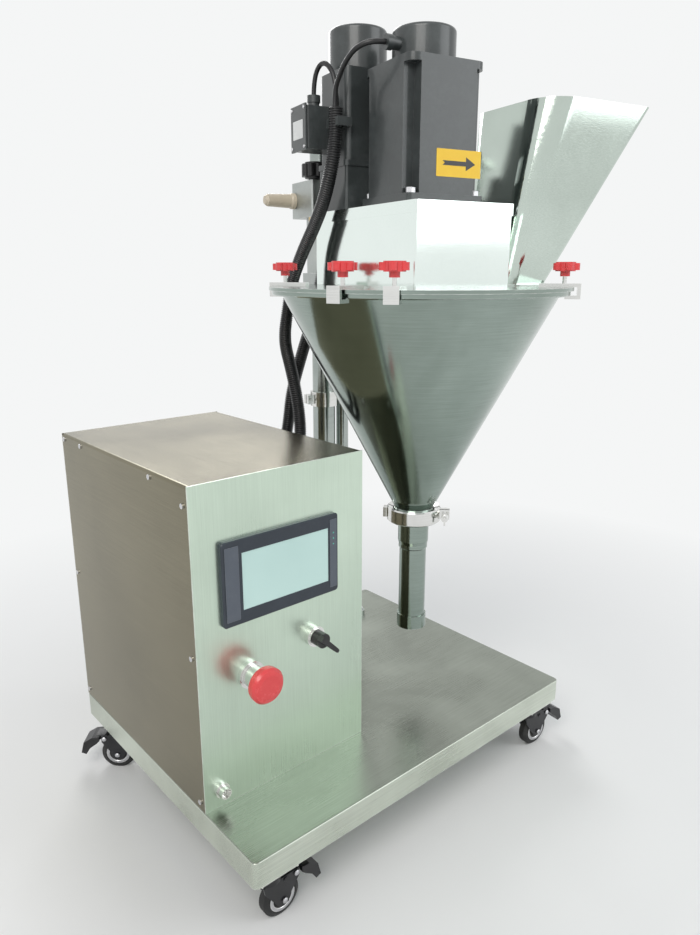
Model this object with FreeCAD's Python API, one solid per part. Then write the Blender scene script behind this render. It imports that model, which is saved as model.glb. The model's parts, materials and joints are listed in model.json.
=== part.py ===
import FreeCAD, Part
import math
import os

# Auger powder filler on a castored tray: control cabinet at the left, lifting
# head with hopper, auger and stirrer at the right.  Millimetres, +Z up, floor
# at z = 0, origin under the middle of the whole machine.  Everything is first
# laid out from the front left corner of the tray (X right, Y back).  The head
# is laid out in its own frame (x right, y back, auger on its origin) and is
# then turned by HEAD_YAW about the auger.

V = FreeCAD.Vector

# ---- driving sizes -------------------------------------------------------
SHEET = 2.0                 # tray and head sheet metal
THIN_SHEET = 1.5            # cabinet sheet metal
SEAT = 0.3                  # gap left between pieces of different bodies
RUN_FIT = 0.05              # radial running clearance of shafts and posts

TRAY_W = 635.0
TRAY_D = 500.0
TRAY_SKIRT = 38.0
TRAY_CORNER = 7.0

WHEEL_R = 28.0
WHEEL_W = 18.0
WHEEL_TRAIL = 16.0
CASTER_H = 85.0             # floor to the caster's top plate
CASTER_PLATE = 2.5
CASTER_PLATE_SIDE = 46.0
CASTER_INSET_X = 40.0
CASTER_INSET_FRONT = 32.0
CASTER_INSET_BACK = 56.0
CASTER_HEADINGS = (0.0, -6.0, 140.0, 20.0)
AXLE_R = 4.0
RIVET_R = 3.2
RAIL_H = 42.0               # cross rails under the tray that carry the casters
RAIL_W = 56.0
TRAY_TOP = CASTER_H + RAIL_H + SHEET
KING_PIN_R = 4.0
FORK_CHEEK = 2.5
BRAKE_PIVOT_X = 36.0

CAB_X = 1.0
CAB_W = 274.0
CAB_Y = 114.0
CAB_D = 385.0
CAB_H = 448.0
CAB_BEND = 4.0
CAB_FLANGE = 20.0

HMI_X = 38.0                # left edge of the operator screen's housing
HMI_TOP = 370.0             # above the tray
HMI_W = 186.0
HMI_H = 114.0
HMI_PROUD = 7.0
HMI_BACK = 32.0
HMI_EDGE = 5.0
HMI_BODY_MARGIN = 6.0
SCREEN_W = 139.0
SCREEN_H = 77.5
SCREEN_LEFT = 29.5
SCREEN_DROP = 18.5
SCREEN_T = 1.5

ESTOP_X = 77.0
ESTOP_Z = 178.0
ESTOP_HEAD_R = 24.5
ESTOP_COLLAR_R = 15.0
ESTOP_COLLAR_L = 24.0
ESTOP_STEM_R = 9.0
ESTOP_HEAD_L = 17.0
ESTOP_TRAVEL = 5.0
PANEL_HOLE_R = 11.15

SELECTOR_X = 182.0
SELECTOR_Z = 198.0
SELECTOR_BEZEL_R = 14.8
SELECTOR_BEZEL_L = 12.0
SELECTOR_KNOB_R = 10.5
SELECTOR_KNOB_L = 14.0
SELECTOR_LEVER_L = 29.0
SELECTOR_REST = -45.0       # lever points down to the right

SOCKET_X = 26.0
SOCKET_Z = 26.0
SOCKET_BARREL_R = 8.0
SOCKET_NUT_R = 10.5
SOCKET_L = 13.0

AUGER_X = 441.5             # auger axis from the tray's front left corner
AUGER_Y = 172.5
HEAD_YAW = -12.5

TUBE_BOTTOM = 106.0         # all head heights are above the tray top
TUBE_R = 22.0
TUBE_BORE_R = 17.0
TUBE_COLLAR_R = 24.3
TUBE_COLLAR_H = 22.0
TUBE_STEP = 248.0
NECK_R = 25.0
FERRULE_R = 37.0
FERRULE_T = 6.4
CLAMP_MID = 306.0
CLAMP_R = 43.5
CLAMP_H = 24.0
CLAMP_BOLT_X = 51.5

CONE_BOTTOM = 318.0
CONE_BOTTOM_R = 32.0
CONE_TOP_R = 207.0
RIM_R = 222.0
RIM_T = 7.0
LID_TOP = 666.0
LID_T = 5.0
LID_R = 226.0
LID_CENTRE_HOLE_R = 34.0

BOX_HALF_W = 83.5
BOX_FRONT = 111.5
BOX_BACK = 186.0
BOX_TOP = 779.0
BOX_LIP = 16.0

SERVO_SIDE = 129.0
SERVO_FLANGE_T = 13.0
SERVO_TOP = 966.0
SERVO_CAP_R = 45.0
SERVO_CAP_TOP = 1013.0
SERVO_SHAFT_R = 11.0
SERVO_SHAFT_L = 26.0

STIR_X = -37.0
STIR_Y = 125.0
STIR_SIDE = 90.0
STIR_SEAM = 977.0
STIR_TOP = 1036.0
STIR_SHAFT_R = 7.5
STIR_PULLEY_R = 21.0
DRIVE_PULLEY_R = 42.0
BELT_T = 3.0
BELT_W = 16.0
BELT_Z = 712.0

AUGER_SHAFT_R = 6.0
FLIGHT_R = 16.5
FLIGHT_PITCH = 26.0
FLIGHT_T = 2.0
AUGER_TIP = 112.0
FLIGHT_TOP = 330.0
COUPLING_R = 17.0
HOLLOW_R = 15.0
HOLLOW_BORE_R = 9.0
HOUSING_R = 33.0
HOUSING_FLANGE_R = 50.0
SCRAPER_GAP = 12.0
SCRAPER_T = 4.0
SCRAPER_W = 22.0

CHUTE_LOW = (118.0, 205.0, 60.0)     # inner edge x, outer edge x, half depth
CHUTE_HIGH = (152.0, 357.0, 97.0)
CHUTE_LOW_R = 24.0
CHUTE_HIGH_R = 50.0
CHUTE_OUTER_R = 12.0
CHUTE_TOP = 930.0

CLAMP_ANGLES = (-132.0, -42.0, 48.0, 138.0, -151.0)
LID_CLAMP_W = 20.0
LID_CLAMP_T = 5.0
LID_CLAMP_OUT = 9.0
LID_CLAMP_IN = 50.0
STUD_IN = 14.0
STUD_R = 3.0
KNOB_R = 20.0
KNOB_H = 13.0
KNOB_Z = 688.0

POST_X = -20.0
POST_Y = 285.0
POST_R = 21.0
ROD_X = 19.0
ROD_R = 12.0
POST_TOP = 930.0
SLEEVE_LOW = 650.0
BLOCK_LOW = 778.0
BLOCK_TOP = 838.0
COLLAR_LOW = 441.0
COLLAR_H = 27.0
LIFT_DOWN = 90.0
LIFT_UP = 45.0
TOOTH_MODULE = 1.5
PINION_TEETH = 20
RACK_W = 12.0
RACK_BODY = 4.0
PINION_SHAFT_R = 6.0
HANDLE_L = 57.0
GRIP_R = 13.5
GRIP_TIP_R = 10.3
LOCK_X = -50.0
LOCK_Y = 252.0
LOCK_R = 23.0
LOCK_H = 26.0

CONDUIT_R = 10.5
LEAD_R = 3.6
GLAND_R = 14.0
GLAND_L = 16.0

T0 = TRAY_TOP               # height of the tray top above the floor
CAB_X1 = CAB_X + CAB_W
CAB_Y1 = CAB_Y + CAB_D
CAB_TOP = T0 + CAB_H


# ---- plain shapes --------------------------------------------------------
def box(x0, x1, y0, y1, z0, z1):
    return Part.makeBox(x1 - x0, y1 - y0, z1 - z0, V(x0, y0, z0))


def rod(x, y, z0, z1, radius):
    return Part.makeCylinder(radius, z1 - z0, V(x, y, z0), V(0, 0, 1))


def bar(start, direction, length, radius):
    return Part.makeCylinder(radius, length, start, direction)


def tube(x, y, z0, z1, outer, inner):
    return rod(x, y, z0, z1, outer).cut(rod(x, y, z0 - 1, z1 + 1, inner))


def join(shapes):
    first = shapes[0]
    if len(shapes) == 1:
        return first
    return first.fuse(list(shapes[1:])).removeSplitter()


def group(shapes):
    return Part.makeCompound(shapes)


def prism(points, vector):
    wire = Part.makePolygon([V(*p) for p in points] + [V(*points[0])])
    return Part.Face(wire).extrude(vector)


def turned(profile):
    """Solid of revolution about z from (radius, height) points."""
    wire = Part.makePolygon([V(r, 0, z) for r, z in profile + profile[:1]])
    return Part.Face(wire).revolve(V(0, 0, 0), V(0, 0, 1), 360)


def vertical_edges(shape):
    found = []
    for edge in shape.Edges:
        a = edge.Vertexes[0].Point
        b = edge.Vertexes[-1].Point
        if abs(a.x - b.x) < 1e-6 and abs(a.y - b.y) < 1e-6 and abs(a.z - b.z) > 1e-6:
            found.append(edge)
    return found


def rounded_box(x0, x1, y0, y1, z0, z1, radius):
    block = box(x0, x1, y0, y1, z0, z1)
    return block.makeFillet(radius, vertical_edges(block))


def rounded_wire(x0, x1, y0, y1, z, radius, right_radius=None):
    """Closed rectangle with round corners at height z."""
    k = radius * (1 - math.sqrt(0.5))
    right = radius if right_radius is None else right_radius
    kr = right * (1 - math.sqrt(0.5))
    edges = []
    corners = (
        (V(x1 - right, y0, z), V(x1 - kr, y0 + kr, z), V(x1, y0 + right, z)),
        (V(x1, y1 - right, z), V(x1 - kr, y1 - kr, z), V(x1 - right, y1, z)),
        (V(x0 + radius, y1, z), V(x0 + k, y1 - k, z), V(x0, y1 - radius, z)),
        (V(x0, y0 + radius, z), V(x0 + k, y0 + k, z), V(x0 + radius, y0, z)),
    )
    last = V(x0 + radius, y0, z)
    for start, middle, end in corners:
        edges.append(Part.LineSegment(last, start).toShape())
        edges.append(Part.Arc(start, middle, end).toShape())
        last = end
    return Part.Wire(edges)


def on_head(shape):
    """Move a shape from the head's frame to the machine's frame."""
    moved = shape.copy()
    moved.rotate(V(0, 0, 0), V(0, 0, 1), HEAD_YAW)
    moved.translate(V(AUGER_X, AUGER_Y, 0))
    return moved


def head_point(x, y, z):
    a = math.radians(HEAD_YAW)
    return V(AUGER_X + x * math.cos(a) - y * math.sin(a),
             AUGER_Y + x * math.sin(a) + y * math.cos(a), T0 + z)


def lobed_knob(radius, height, lobes, x, y, z):
    """Hand knob with round lobes about a vertical axis."""
    core = rod(x, y, z, z + height, radius * 0.72)
    parts = [core]
    for i in range(lobes):
        a = 2 * math.pi * i / lobes
        lobe_r = radius * 0.3
        reach = radius - lobe_r
        parts.append(rod(x + reach * math.cos(a), y + reach * math.sin(a),
                         z + height * 0.12, z + height * 0.88, lobe_r))
    return join(parts)


# ---- tray and casters ----------------------------------------------------
def caster_places():
    x0 = CASTER_INSET_X
    x1 = TRAY_W - CASTER_INSET_X
    y0 = CASTER_INSET_FRONT
    y1 = TRAY_D - CASTER_INSET_BACK
    return ((x0, y0), (x1, y0), (x0, y1), (x1, y1))


def base_tray():
    outer = rounded_box(0, TRAY_W, 0, TRAY_D, T0 - TRAY_SKIRT, T0, TRAY_CORNER)
    top_edges = [e for e in outer.Edges if all(abs(v.Point.z - T0) < 1e-6 for v in e.Vertexes)]
    outer = outer.makeFillet(SHEET, top_edges)
    inner = rounded_box(SHEET, TRAY_W - SHEET, SHEET, TRAY_D - SHEET,
                        T0 - TRAY_SKIRT - 1, T0 - SHEET, TRAY_CORNER - SHEET)
    return outer.cut(inner)


def base_rails():
    """Two folded channels, open side down, that carry the casters."""
    rails = []
    z0 = CASTER_H
    z1 = T0 - SHEET
    places = caster_places()
    for x in (places[0][0], places[1][0]):
        half = RAIL_W / 2
        y0 = SHEET + 1.0
        y1 = TRAY_D - SHEET - 1.0
        web = box(x - half, x + half, y0, y1, z1 - SHEET, z1)
        left = box(x - half, x - half + SHEET, y0, y1, z0, z1)
        right = box(x + half - SHEET, x + half, y0, y1, z0, z1)
        pads = [box(x - half, x + half, y - half, y + half, z0, z0 + SHEET)
                for px, y in places if px == x]
        pads = [p.common(box(x - half, x + half, y0, y1, z0, z1)) for p in pads]
        rails.append(join([web, left, right] + pads))
    return group(rails)


def caster_plates():
    plates = []
    for x, y in caster_places():
        half = CASTER_PLATE_SIDE / 2
        z1 = CASTER_H
        z0 = z1 - CASTER_PLATE
        plate = rounded_box(x - half, x + half, y - half, y + half, z0, z1, 5.0)
        race = rod(x, y, z0 - 3.0, z0, 15.0)
        pin = rod(x, y, CASTER_H - 25.0, z0, KING_PIN_R)
        head = rod(x, y, CASTER_H - 27.0, CASTER_H - 25.0, KING_PIN_R + 2.5)
        bolts = []
        for dx in (-1, 1):
            for dy in (-1, 1):
                bolts.append(rod(x + dx * (half - 6), y + dy * (half - 6), z0 - 3.0, z0, 4.0))
        plates.append(join([plate, race, pin, head] + bolts))
    return plates


def crown_low():
    """Underside of the fork's crown."""
    return CASTER_H - 25.0 + SEAT


def brake_pivot():
    return BRAKE_PIVOT_X, crown_low() - 1.5


def caster_fork():
    """Swivel fork in the caster's own frame: swivel axis on z, wheel towards +x."""
    low = crown_low()
    crown_top = CASTER_H - CASTER_PLATE - 3.0 - SEAT
    inner = WHEEL_W / 2 + 1.2
    cup = rod(0, 0, low + 3.0, crown_top, 17.0)
    crown = box(-15, 24, -inner, inner, low, low + 3.0)
    rear = box(24, 29, -inner, inner, low + 1.0, low + 3.0)
    cheeks = []
    for side in (-1, 1):
        y = side * inner
        cheeks.append(prism(((-15, y, low + 3.0), (-13, y, low - 8.0),
                             (WHEEL_TRAIL - 8, y, WHEEL_R - 7), (WHEEL_TRAIL + 7, y, WHEEL_R - 7),
                             (WHEEL_TRAIL + 12, y, WHEEL_R + 6), (41, y, low - 8.0),
                             (41, y, low + 3.0)), V(0, side * FORK_CHEEK, 0)))
    body = join([cup, crown, rear] + cheeks)
    body = body.cut(rod(0, 0, 0, CASTER_H, KING_PIN_R + RUN_FIT))
    body = body.cut(rod(0, 0, 0, low + SEAT, KING_PIN_R + 2.5 + SEAT))
    reach = inner + FORK_CHEEK
    px, pz = brake_pivot()
    pins = [bar(V(WHEEL_TRAIL, -reach - 2, WHEEL_R), V(0, 1, 0), 2 * reach + 4, AXLE_R),
            bar(V(px, -reach - 1.5, pz), V(0, 1, 0), 2 * reach + 3, RIVET_R)]
    for side in (-1, 1):
        start = V(19, side * (inner + 1), low - 1.5)
        pins.append(bar(start, V(0, side, 0), FORK_CHEEK + 0.5, RIVET_R))
    return join([body] + pins)


def caster_wheel():
    """Wheel with a domed cover ring on each face, bored for its axle."""
    half = WHEEL_W / 2
    bore = AXLE_R + RUN_FIT
    profile = [(bore, -half), (9.0, -half), (11.0, -half + 2.2), (15.0, -half + 0.4),
               (19.0, -half + 0.4), (20.0, -half + 1.6), (23.0, -half + 1.6),
               (WHEEL_R, -half + 4.0)]
    mirrored = [(r, -z) for r, z in reversed(profile)]
    wheel = turned(profile + mirrored)
    wheel.rotate(V(0, 0, 0), V(1, 0, 0), 90)
    wheel.translate(V(WHEEL_TRAIL, 0, WHEEL_R))
    return wheel


def caster_brake():
    """Foot pedal on the rear rivet, resting clear of the wheel."""
    px, pz = brake_pivot()
    half = WHEEL_W / 2 + 0.6
    pad_half = half + 6.0
    hub = bar(V(px, -half, pz), V(0, 1, 0), 2 * half, RIVET_R + 1.5)
    arm = prism(((px, -half, pz - 3.0), (px, -half, pz + 4.7), (px + 14, -half, pz + 4.7),
                 (px + 14, -half, pz - 3.0)), V(0, 2 * half, 0))
    pad = prism(((px + 8, -pad_half, pz + 4.7), (px + 20, -pad_half, pz + 3.5),
                 (px + 34, -pad_half, pz - 5.0), (px + 39, -pad_half, pz - 24.0),
                 (px + 31, -pad_half, pz - 27.0), (px + 24, -pad_half, pz - 16.0),
                 (px + 13, -pad_half, pz - 8.0), (px + 8, -pad_half, pz - 3.0)),
                V(0, 2 * pad_half, 0))
    body = join([hub, arm, pad])
    return body.cut(bar(V(px, -40, pz), V(0, 1, 0), 80, RIVET_R + RUN_FIT))


def place_caster(shape, index):
    x, y = caster_places()[index]
    moved = shape.copy()
    moved.rotate(V(0, 0, 0), V(0, 0, 1), CASTER_HEADINGS[index])
    moved.translate(V(x, y, 0))
    return moved


# ---- control cabinet -----------------------------------------------------
def cabinet_cover():
    """One folded sheet: left wall, top and right wall."""
    y0 = CAB_Y + THIN_SHEET
    y1 = CAB_Y1 - THIN_SHEET
    outer = box(CAB_X, CAB_X1, y0, y1, T0, CAB_TOP)
    bends = []
    for edge in outer.Edges:
        a = edge.Vertexes[0].Point
        b = edge.Vertexes[-1].Point
        if abs(a.z - CAB_TOP) < 1e-6 and abs(b.z - CAB_TOP) < 1e-6 and abs(a.x - b.x) < 1e-6:
            bends.append(edge)
    outer = outer.makeFillet(CAB_BEND, bends)
    inner = box(CAB_X + THIN_SHEET, CAB_X1 - THIN_SHEET, y0 - 1, y1 + 1, T0 - 1, CAB_TOP - THIN_SHEET)
    cover = outer.cut(inner)
    for x, y, z in cabinet_gland_places():
        cover = cover.cut(bar(V(CAB_X1 - 10, y, z), V(1, 0, 0), 20, GLAND_R * 0.6))
    return cover


def cabinet_end(y, inward):
    """Flat end plate with returned flanges inside the cover."""
    plate = box(CAB_X, CAB_X1, min(y, y + inward * THIN_SHEET), max(y, y + inward * THIN_SHEET),
                T0, CAB_TOP)
    flanges = []
    ya = y + inward * THIN_SHEET
    yb = y + inward * CAB_FLANGE
    lo = min(ya, yb)
    hi = max(ya, yb)
    inside = THIN_SHEET
    flanges.append(box(CAB_X + inside, CAB_X + 2 * inside, lo, hi, T0, CAB_TOP - inside))
    flanges.append(box(CAB_X1 - 2 * inside, CAB_X1 - inside, lo, hi, T0, CAB_TOP - inside))
    flanges.append(box(CAB_X + inside, CAB_X1 - inside, lo, hi, CAB_TOP - 2 * inside, CAB_TOP - inside))
    flanges.append(box(CAB_X + inside, CAB_X1 - inside, lo, hi, T0, T0 + inside))
    return join([plate] + flanges)


def cabinet_front_panel():
    panel = cabinet_end(CAB_Y, 1)
    m = HMI_BODY_MARGIN
    z1 = T0 + HMI_TOP
    panel = panel.cut(box(HMI_X + m, HMI_X + HMI_W - m, CAB_Y - 1, CAB_Y + 5,
                          z1 - HMI_H + m, z1 - m))
    for x, z, radius in ((ESTOP_X, ESTOP_Z, PANEL_HOLE_R), (SELECTOR_X, SELECTOR_Z, PANEL_HOLE_R),
                         (SOCKET_X, SOCKET_Z, SOCKET_BARREL_R)):
        panel = panel.cut(bar(V(x, CAB_Y - 1, T0 + z), V(0, 1, 0), 8, radius))
    return panel


def cabinet_back_panel():
    return cabinet_end(CAB_Y1, -1)


def cabinet_screw_places():
    """(y, z) of the pan heads along the cabinet's side."""
    front = CAB_Y + THIN_SHEET + 11.0
    back = CAB_Y1 - THIN_SHEET - 8.0
    return ((front, 422.0), (front, 222.0), (front, 12.0), (back, 440.0), (back, 222.0), (back, 12.0),
            (209.0, 440.0), (428.0, 440.0))


def base_fasteners():
    parts = []
    for y, z in cabinet_screw_places():
        for x, direction in ((CAB_X, -1), (CAB_X1, 1)):
            head = bar(V(x, y, T0 + z), V(direction, 0, 0), 1.8, 3.4)
            parts.append(head)
    for dx, dy in ((-1, -1), (1, -1), (-1, 1), (1, 1)):
        x = (POST_X + ROD_X) / 2 + dx * 46.0
        y = POST_Y + dy * 25.5
        parts.append(on_head(rod(x, y, T0 + 10.0, T0 + 15.5, 6.0)))
    return group(parts)


def cabinet_gland_places():
    return ((CAB_X1, 340.0, T0 + 356.0), (CAB_X1, 388.0, T0 + 356.0))


def conduit_glands():
    """Screwed hose ends on the cabinet wall and hose clips on the stirrer motor."""
    parts = []
    for x, y, z in cabinet_gland_places():
        flange = bar(V(x, y, z), V(1, 0, 0), 5.0, GLAND_R)
        cup = bar(V(x + 5.0, y, z), V(1, 0, 0), GLAND_L - 5.0, GLAND_R - 1.5)
        nut = bar(V(x - THIN_SHEET, y, z), V(-1, 0, 0), 4.0, GLAND_R - 2.0)
        neck = bar(V(x - THIN_SHEET, y, z), V(1, 0, 0), THIN_SHEET, GLAND_R * 0.6)
        whole = join([flange, cup, nut, neck])
        hose = bar(V(x + 5.0, y, z), V(1, 0, 0), GLAND_L, CONDUIT_R)
        wires = bar(V(x - 10.0, y, z), V(1, 0, 0), 30.0, CONDUIT_R * 0.7)
        parts.append(whole.cut(hose).cut(wires))
    return group(parts)


def mounting_plate():
    back = CAB_Y1 - THIN_SHEET
    y = back - 24.0
    plate = box(CAB_X + 22, CAB_X1 - 22, y, y + 2, T0 + 26, CAB_TOP - 30)
    stand_offs = []
    for x in (CAB_X + 34, CAB_X1 - 34):
        for z in (T0 + 40, CAB_TOP - 44):
            stand_offs.append(bar(V(x, y + 2, z), V(0, 1, 0), back - y - 2, 5.0))
    plate = join([plate] + stand_offs)
    drive = box(CAB_X + 34, CAB_X + 94, y - 150, y, T0 + 220, T0 + 390)
    fins = [box(CAB_X + 34 + 6 * i, CAB_X + 36 + 6 * i, y - 150, y, T0 + 212, T0 + 220)
            for i in range(10)]
    drive = join([drive] + fins)
    stirrer_drive = box(CAB_X + 108, CAB_X + 168, y - 110, y, T0 + 250, T0 + 390)
    supply = box(CAB_X + 182, CAB_X + 240, y - 98, y, T0 + 262, T0 + 390)
    rail = box(CAB_X + 34, CAB_X1 - 34, y - 7.5, y, T0 + 140, T0 + 175)
    relays = [box(CAB_X + 44 + 24 * i, CAB_X + 62 + 24 * i, y - 60, y - 7.5, T0 + 126, T0 + 188)
              for i in range(7)]
    return group([plate, drive, stirrer_drive, supply, rail] + relays)


def hmi_housing():
    z1 = T0 + HMI_TOP
    z0 = z1 - HMI_H
    x1 = HMI_X + HMI_W
    front = CAB_Y - HMI_PROUD
    frame = box(HMI_X, x1, front, CAB_Y, z0, z1)
    corners = [e for e in frame.Edges
               if abs(e.Vertexes[0].Point.y - e.Vertexes[-1].Point.y) > 1]
    frame = frame.makeFillet(HMI_EDGE, corners)
    rim = [e for e in frame.Edges if all(abs(v.Point.y - front) < 1e-6 for v in e.Vertexes)]
    frame = frame.makeChamfer(1.2, rim)
    m = HMI_BODY_MARGIN + 0.4
    body = box(HMI_X + m, x1 - m, CAB_Y - 1, CAB_Y + HMI_BACK, z0 + m, z1 - m)
    whole = join([frame, body])
    sx = HMI_X + SCREEN_LEFT
    sz = z1 - SCREEN_DROP
    recess = box(sx, sx + SCREEN_W, front - 1, front + 0.6 + SCREEN_T, sz - SCREEN_H, sz)
    return whole.cut(recess)


def hmi_screen():
    sx = HMI_X + SCREEN_LEFT
    sz = T0 + HMI_TOP - SCREEN_DROP
    front = CAB_Y - HMI_PROUD
    return box(sx, sx + SCREEN_W, front + 0.6, front + 0.6 + SCREEN_T, sz - SCREEN_H, sz)


def panel_fittings():
    """Fixed bodies of the emergency stop, the selector and the round socket."""
    out = V(0, -1, 0)
    back = V(0, 1, 0)
    z = T0 + ESTOP_Z
    collar = bar(V(ESTOP_X, CAB_Y, z), out, ESTOP_COLLAR_L, ESTOP_COLLAR_R)
    ring = bar(V(ESTOP_X, CAB_Y, z), out, 6.0, ESTOP_COLLAR_R + 4.0)
    thread = bar(V(ESTOP_X, CAB_Y, z), back, 24.0, PANEL_HOLE_R)
    contacts = box(ESTOP_X - 18, ESTOP_X + 18, CAB_Y + 24, CAB_Y + 62, z - 22, z + 22)
    estop = join([collar, ring, thread, contacts])
    estop = estop.cut(bar(V(ESTOP_X, CAB_Y + 10, z), out, 60, ESTOP_STEM_R + RUN_FIT))
    z = T0 + SELECTOR_Z
    bezel = bar(V(SELECTOR_X, CAB_Y, z), out, SELECTOR_BEZEL_L - 3.0, SELECTOR_BEZEL_R)
    lip = bar(V(SELECTOR_X, CAB_Y, z), out, SELECTOR_BEZEL_L, SELECTOR_BEZEL_R - 2.0)
    thread = bar(V(SELECTOR_X, CAB_Y, z), back, 24.0, PANEL_HOLE_R)
    contacts = box(SELECTOR_X - 15, SELECTOR_X + 15, CAB_Y + 24, CAB_Y + 58, z - 18, z + 18)
    selector = join([bezel, lip, thread, contacts])
    selector = selector.cut(bar(V(SELECTOR_X, CAB_Y + 10, z), out, 60, 6.0 + RUN_FIT))
    z = T0 + SOCKET_Z
    barrel = bar(V(SOCKET_X, CAB_Y + 10, z), out, SOCKET_L + 10, SOCKET_BARREL_R)
    nut = bar(V(SOCKET_X, CAB_Y, z), out, 4.0, SOCKET_NUT_R)
    socket = join([barrel, nut])
    socket = socket.cut(bar(V(SOCKET_X, CAB_Y - SOCKET_L + 6.0, z), out, 20, SOCKET_BARREL_R - 1.6))
    pins = []
    for i in range(4):
        a = math.pi / 4 + i * math.pi / 2
        pins.append(bar(V(SOCKET_X + 3 * math.cos(a), CAB_Y - SOCKET_L + 6.0, z + 3 * math.sin(a)),
                        out, 5.0, 0.8))
    return group([estop, selector, join([socket] + pins)])


def estop_button():
    z = T0 + ESTOP_Z
    out = V(0, -1, 0)
    gap = ESTOP_TRAVEL + SEAT
    y = CAB_Y - ESTOP_COLLAR_L - gap
    head = turned([(0, 0), (ESTOP_HEAD_R - 4.0, 0), (ESTOP_HEAD_R - 0.6, 3.0), (ESTOP_HEAD_R, 6.0),
                   (ESTOP_HEAD_R, ESTOP_HEAD_L - 5.0), (ESTOP_HEAD_R - 3.0, ESTOP_HEAD_L - 1.4),
                   (ESTOP_HEAD_R - 9.0, ESTOP_HEAD_L), (0, ESTOP_HEAD_L)])
    head.rotate(V(0, 0, 0), V(1, 0, 0), 90)
    head.translate(V(ESTOP_X, y, z))
    stem = bar(V(ESTOP_X, y - 1, z), V(0, 1, 0), ESTOP_COLLAR_L + 4.0, ESTOP_STEM_R)
    return join([head, stem])


def selector_knob():
    z = T0 + SELECTOR_Z
    y = CAB_Y - SELECTOR_BEZEL_L - SEAT
    out = V(0, -1, 0)
    cap = bar(V(SELECTOR_X, y, z), out, SELECTOR_KNOB_L, SELECTOR_KNOB_R)
    stem = bar(V(SELECTOR_X, y, z), V(0, 1, 0), SELECTOR_BEZEL_L + 6.0, 6.0)
    w = 4.0
    y1 = y - SELECTOR_KNOB_L
    lever = prism(((-SELECTOR_KNOB_R, y1 - 7, -w), (SELECTOR_LEVER_L - 3, y1 - 7, -w * 0.75),
                   (SELECTOR_LEVER_L, y1 - 7, -w * 0.4), (SELECTOR_LEVER_L, y1 - 7, w * 0.4),
                   (SELECTOR_LEVER_L - 3, y1 - 7, w * 0.75), (-SELECTOR_KNOB_R, y1 - 7, w)),
                  V(0, 9, 0))
    lever.rotate(V(0, 0, 0), V(0, 1, 0), -SELECTOR_REST)
    lever.translate(V(SELECTOR_X, 0, z))
    return join([cap, stem, lever])


# ---- lifting column ------------------------------------------------------
def column_foot():
    """Foot plate with two bosses that hold the post and the guide rod."""
    xm = (POST_X + ROD_X) / 2
    plate = rounded_box(xm - 56, xm + 56, POST_Y - 34, POST_Y + 34, T0, T0 + 10, 8.0)
    boss = rod(POST_X, POST_Y, T0 + 10, T0 + 46, POST_R + 9)
    boss_rod = rod(ROD_X, POST_Y, T0 + 10, T0 + 40, ROD_R + 7)
    foot = join([plate, boss, boss_rod])
    foot = foot.cut(rod(POST_X, POST_Y, T0 - 1, T0 + 60, POST_R))
    foot = foot.cut(rod(ROD_X, POST_Y, T0 - 1, T0 + 60, ROD_R))
    return on_head(foot)


def main_post():
    return on_head(rod(POST_X, POST_Y, T0, T0 + POST_TOP, POST_R))


def rack_back():
    return POST_Y + ROD_R - 2.0


def pitch_line():
    return rack_back() + RACK_BODY + 1.25 * TOOTH_MODULE


def guide_rod():
    """Rod with a flat along its back for the rack."""
    whole = rod(ROD_X, POST_Y, T0, T0 + POST_TOP, ROD_R)
    flat = box(ROD_X - 20, ROD_X + 20, rack_back(), rack_back() + 20, T0 + 60, T0 + POST_TOP - 20)
    return on_head(whole.cut(flat))


def tooth_pitch():
    return math.pi * TOOTH_MODULE


def lift_rack():
    """Toothed bar on the guide rod, long enough for the whole travel."""
    pinion_z = T0 + (BLOCK_LOW + BLOCK_TOP) / 2
    pitch = tooth_pitch()
    count = int((LIFT_DOWN + LIFT_UP) / pitch) + 16
    z_mid = pinion_z - (LIFT_DOWN - LIFT_UP) / 2
    first = -(count // 2)
    root = pitch_line() - 1.25 * TOOTH_MODULE
    tip = pitch_line() + 0.9 * TOOTH_MODULE
    offset = (z_mid - pinion_z) / pitch
    start = int(round(offset)) + first
    z0 = pinion_z + (start - 0.5) * pitch
    points = [(0, rack_back(), z0), (0, root, z0)]
    for i in range(count):
        z = pinion_z + (start + i) * pitch
        points.append((0, root, z - 0.34 * pitch))
        points.append((0, tip, z - 0.12 * pitch))
        points.append((0, tip, z + 0.12 * pitch))
        points.append((0, root, z + 0.34 * pitch))
    z1 = z0 + count * pitch
    points.append((0, root, z1))
    points.append((0, rack_back(), z1))
    shape = prism([(ROD_X - RACK_W / 2, y, z) for _, y, z in points], V(RACK_W, 0, 0))
    return on_head(shape)


def stop_collar():
    """Split clamp ring on the post: the head's lowest stop."""
    z0 = T0 + COLLAR_LOW
    ring = tube(POST_X, POST_Y, z0, z0 + COLLAR_H, POST_R + 5.0, POST_R)
    ear = box(POST_X - POST_R - 16, POST_X - POST_R - 1, POST_Y - 9, POST_Y + 9, z0 + 5, z0 + COLLAR_H - 5)
    ear = ear.cut(rod(POST_X, POST_Y, z0 - 1, z0 + COLLAR_H + 1, POST_R + 0.5))
    slit = box(POST_X - POST_R - 20, POST_X - POST_R + 4, POST_Y - 1.2, POST_Y + 1.2, z0 - 1, z0 + COLLAR_H + 1)
    screw = bar(V(POST_X - POST_R - 10, POST_Y - 13, z0 + COLLAR_H / 2), V(0, 1, 0), 24, 2.6)
    return on_head(join([ring, ear]).cut(slit).fuse(screw))


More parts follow.
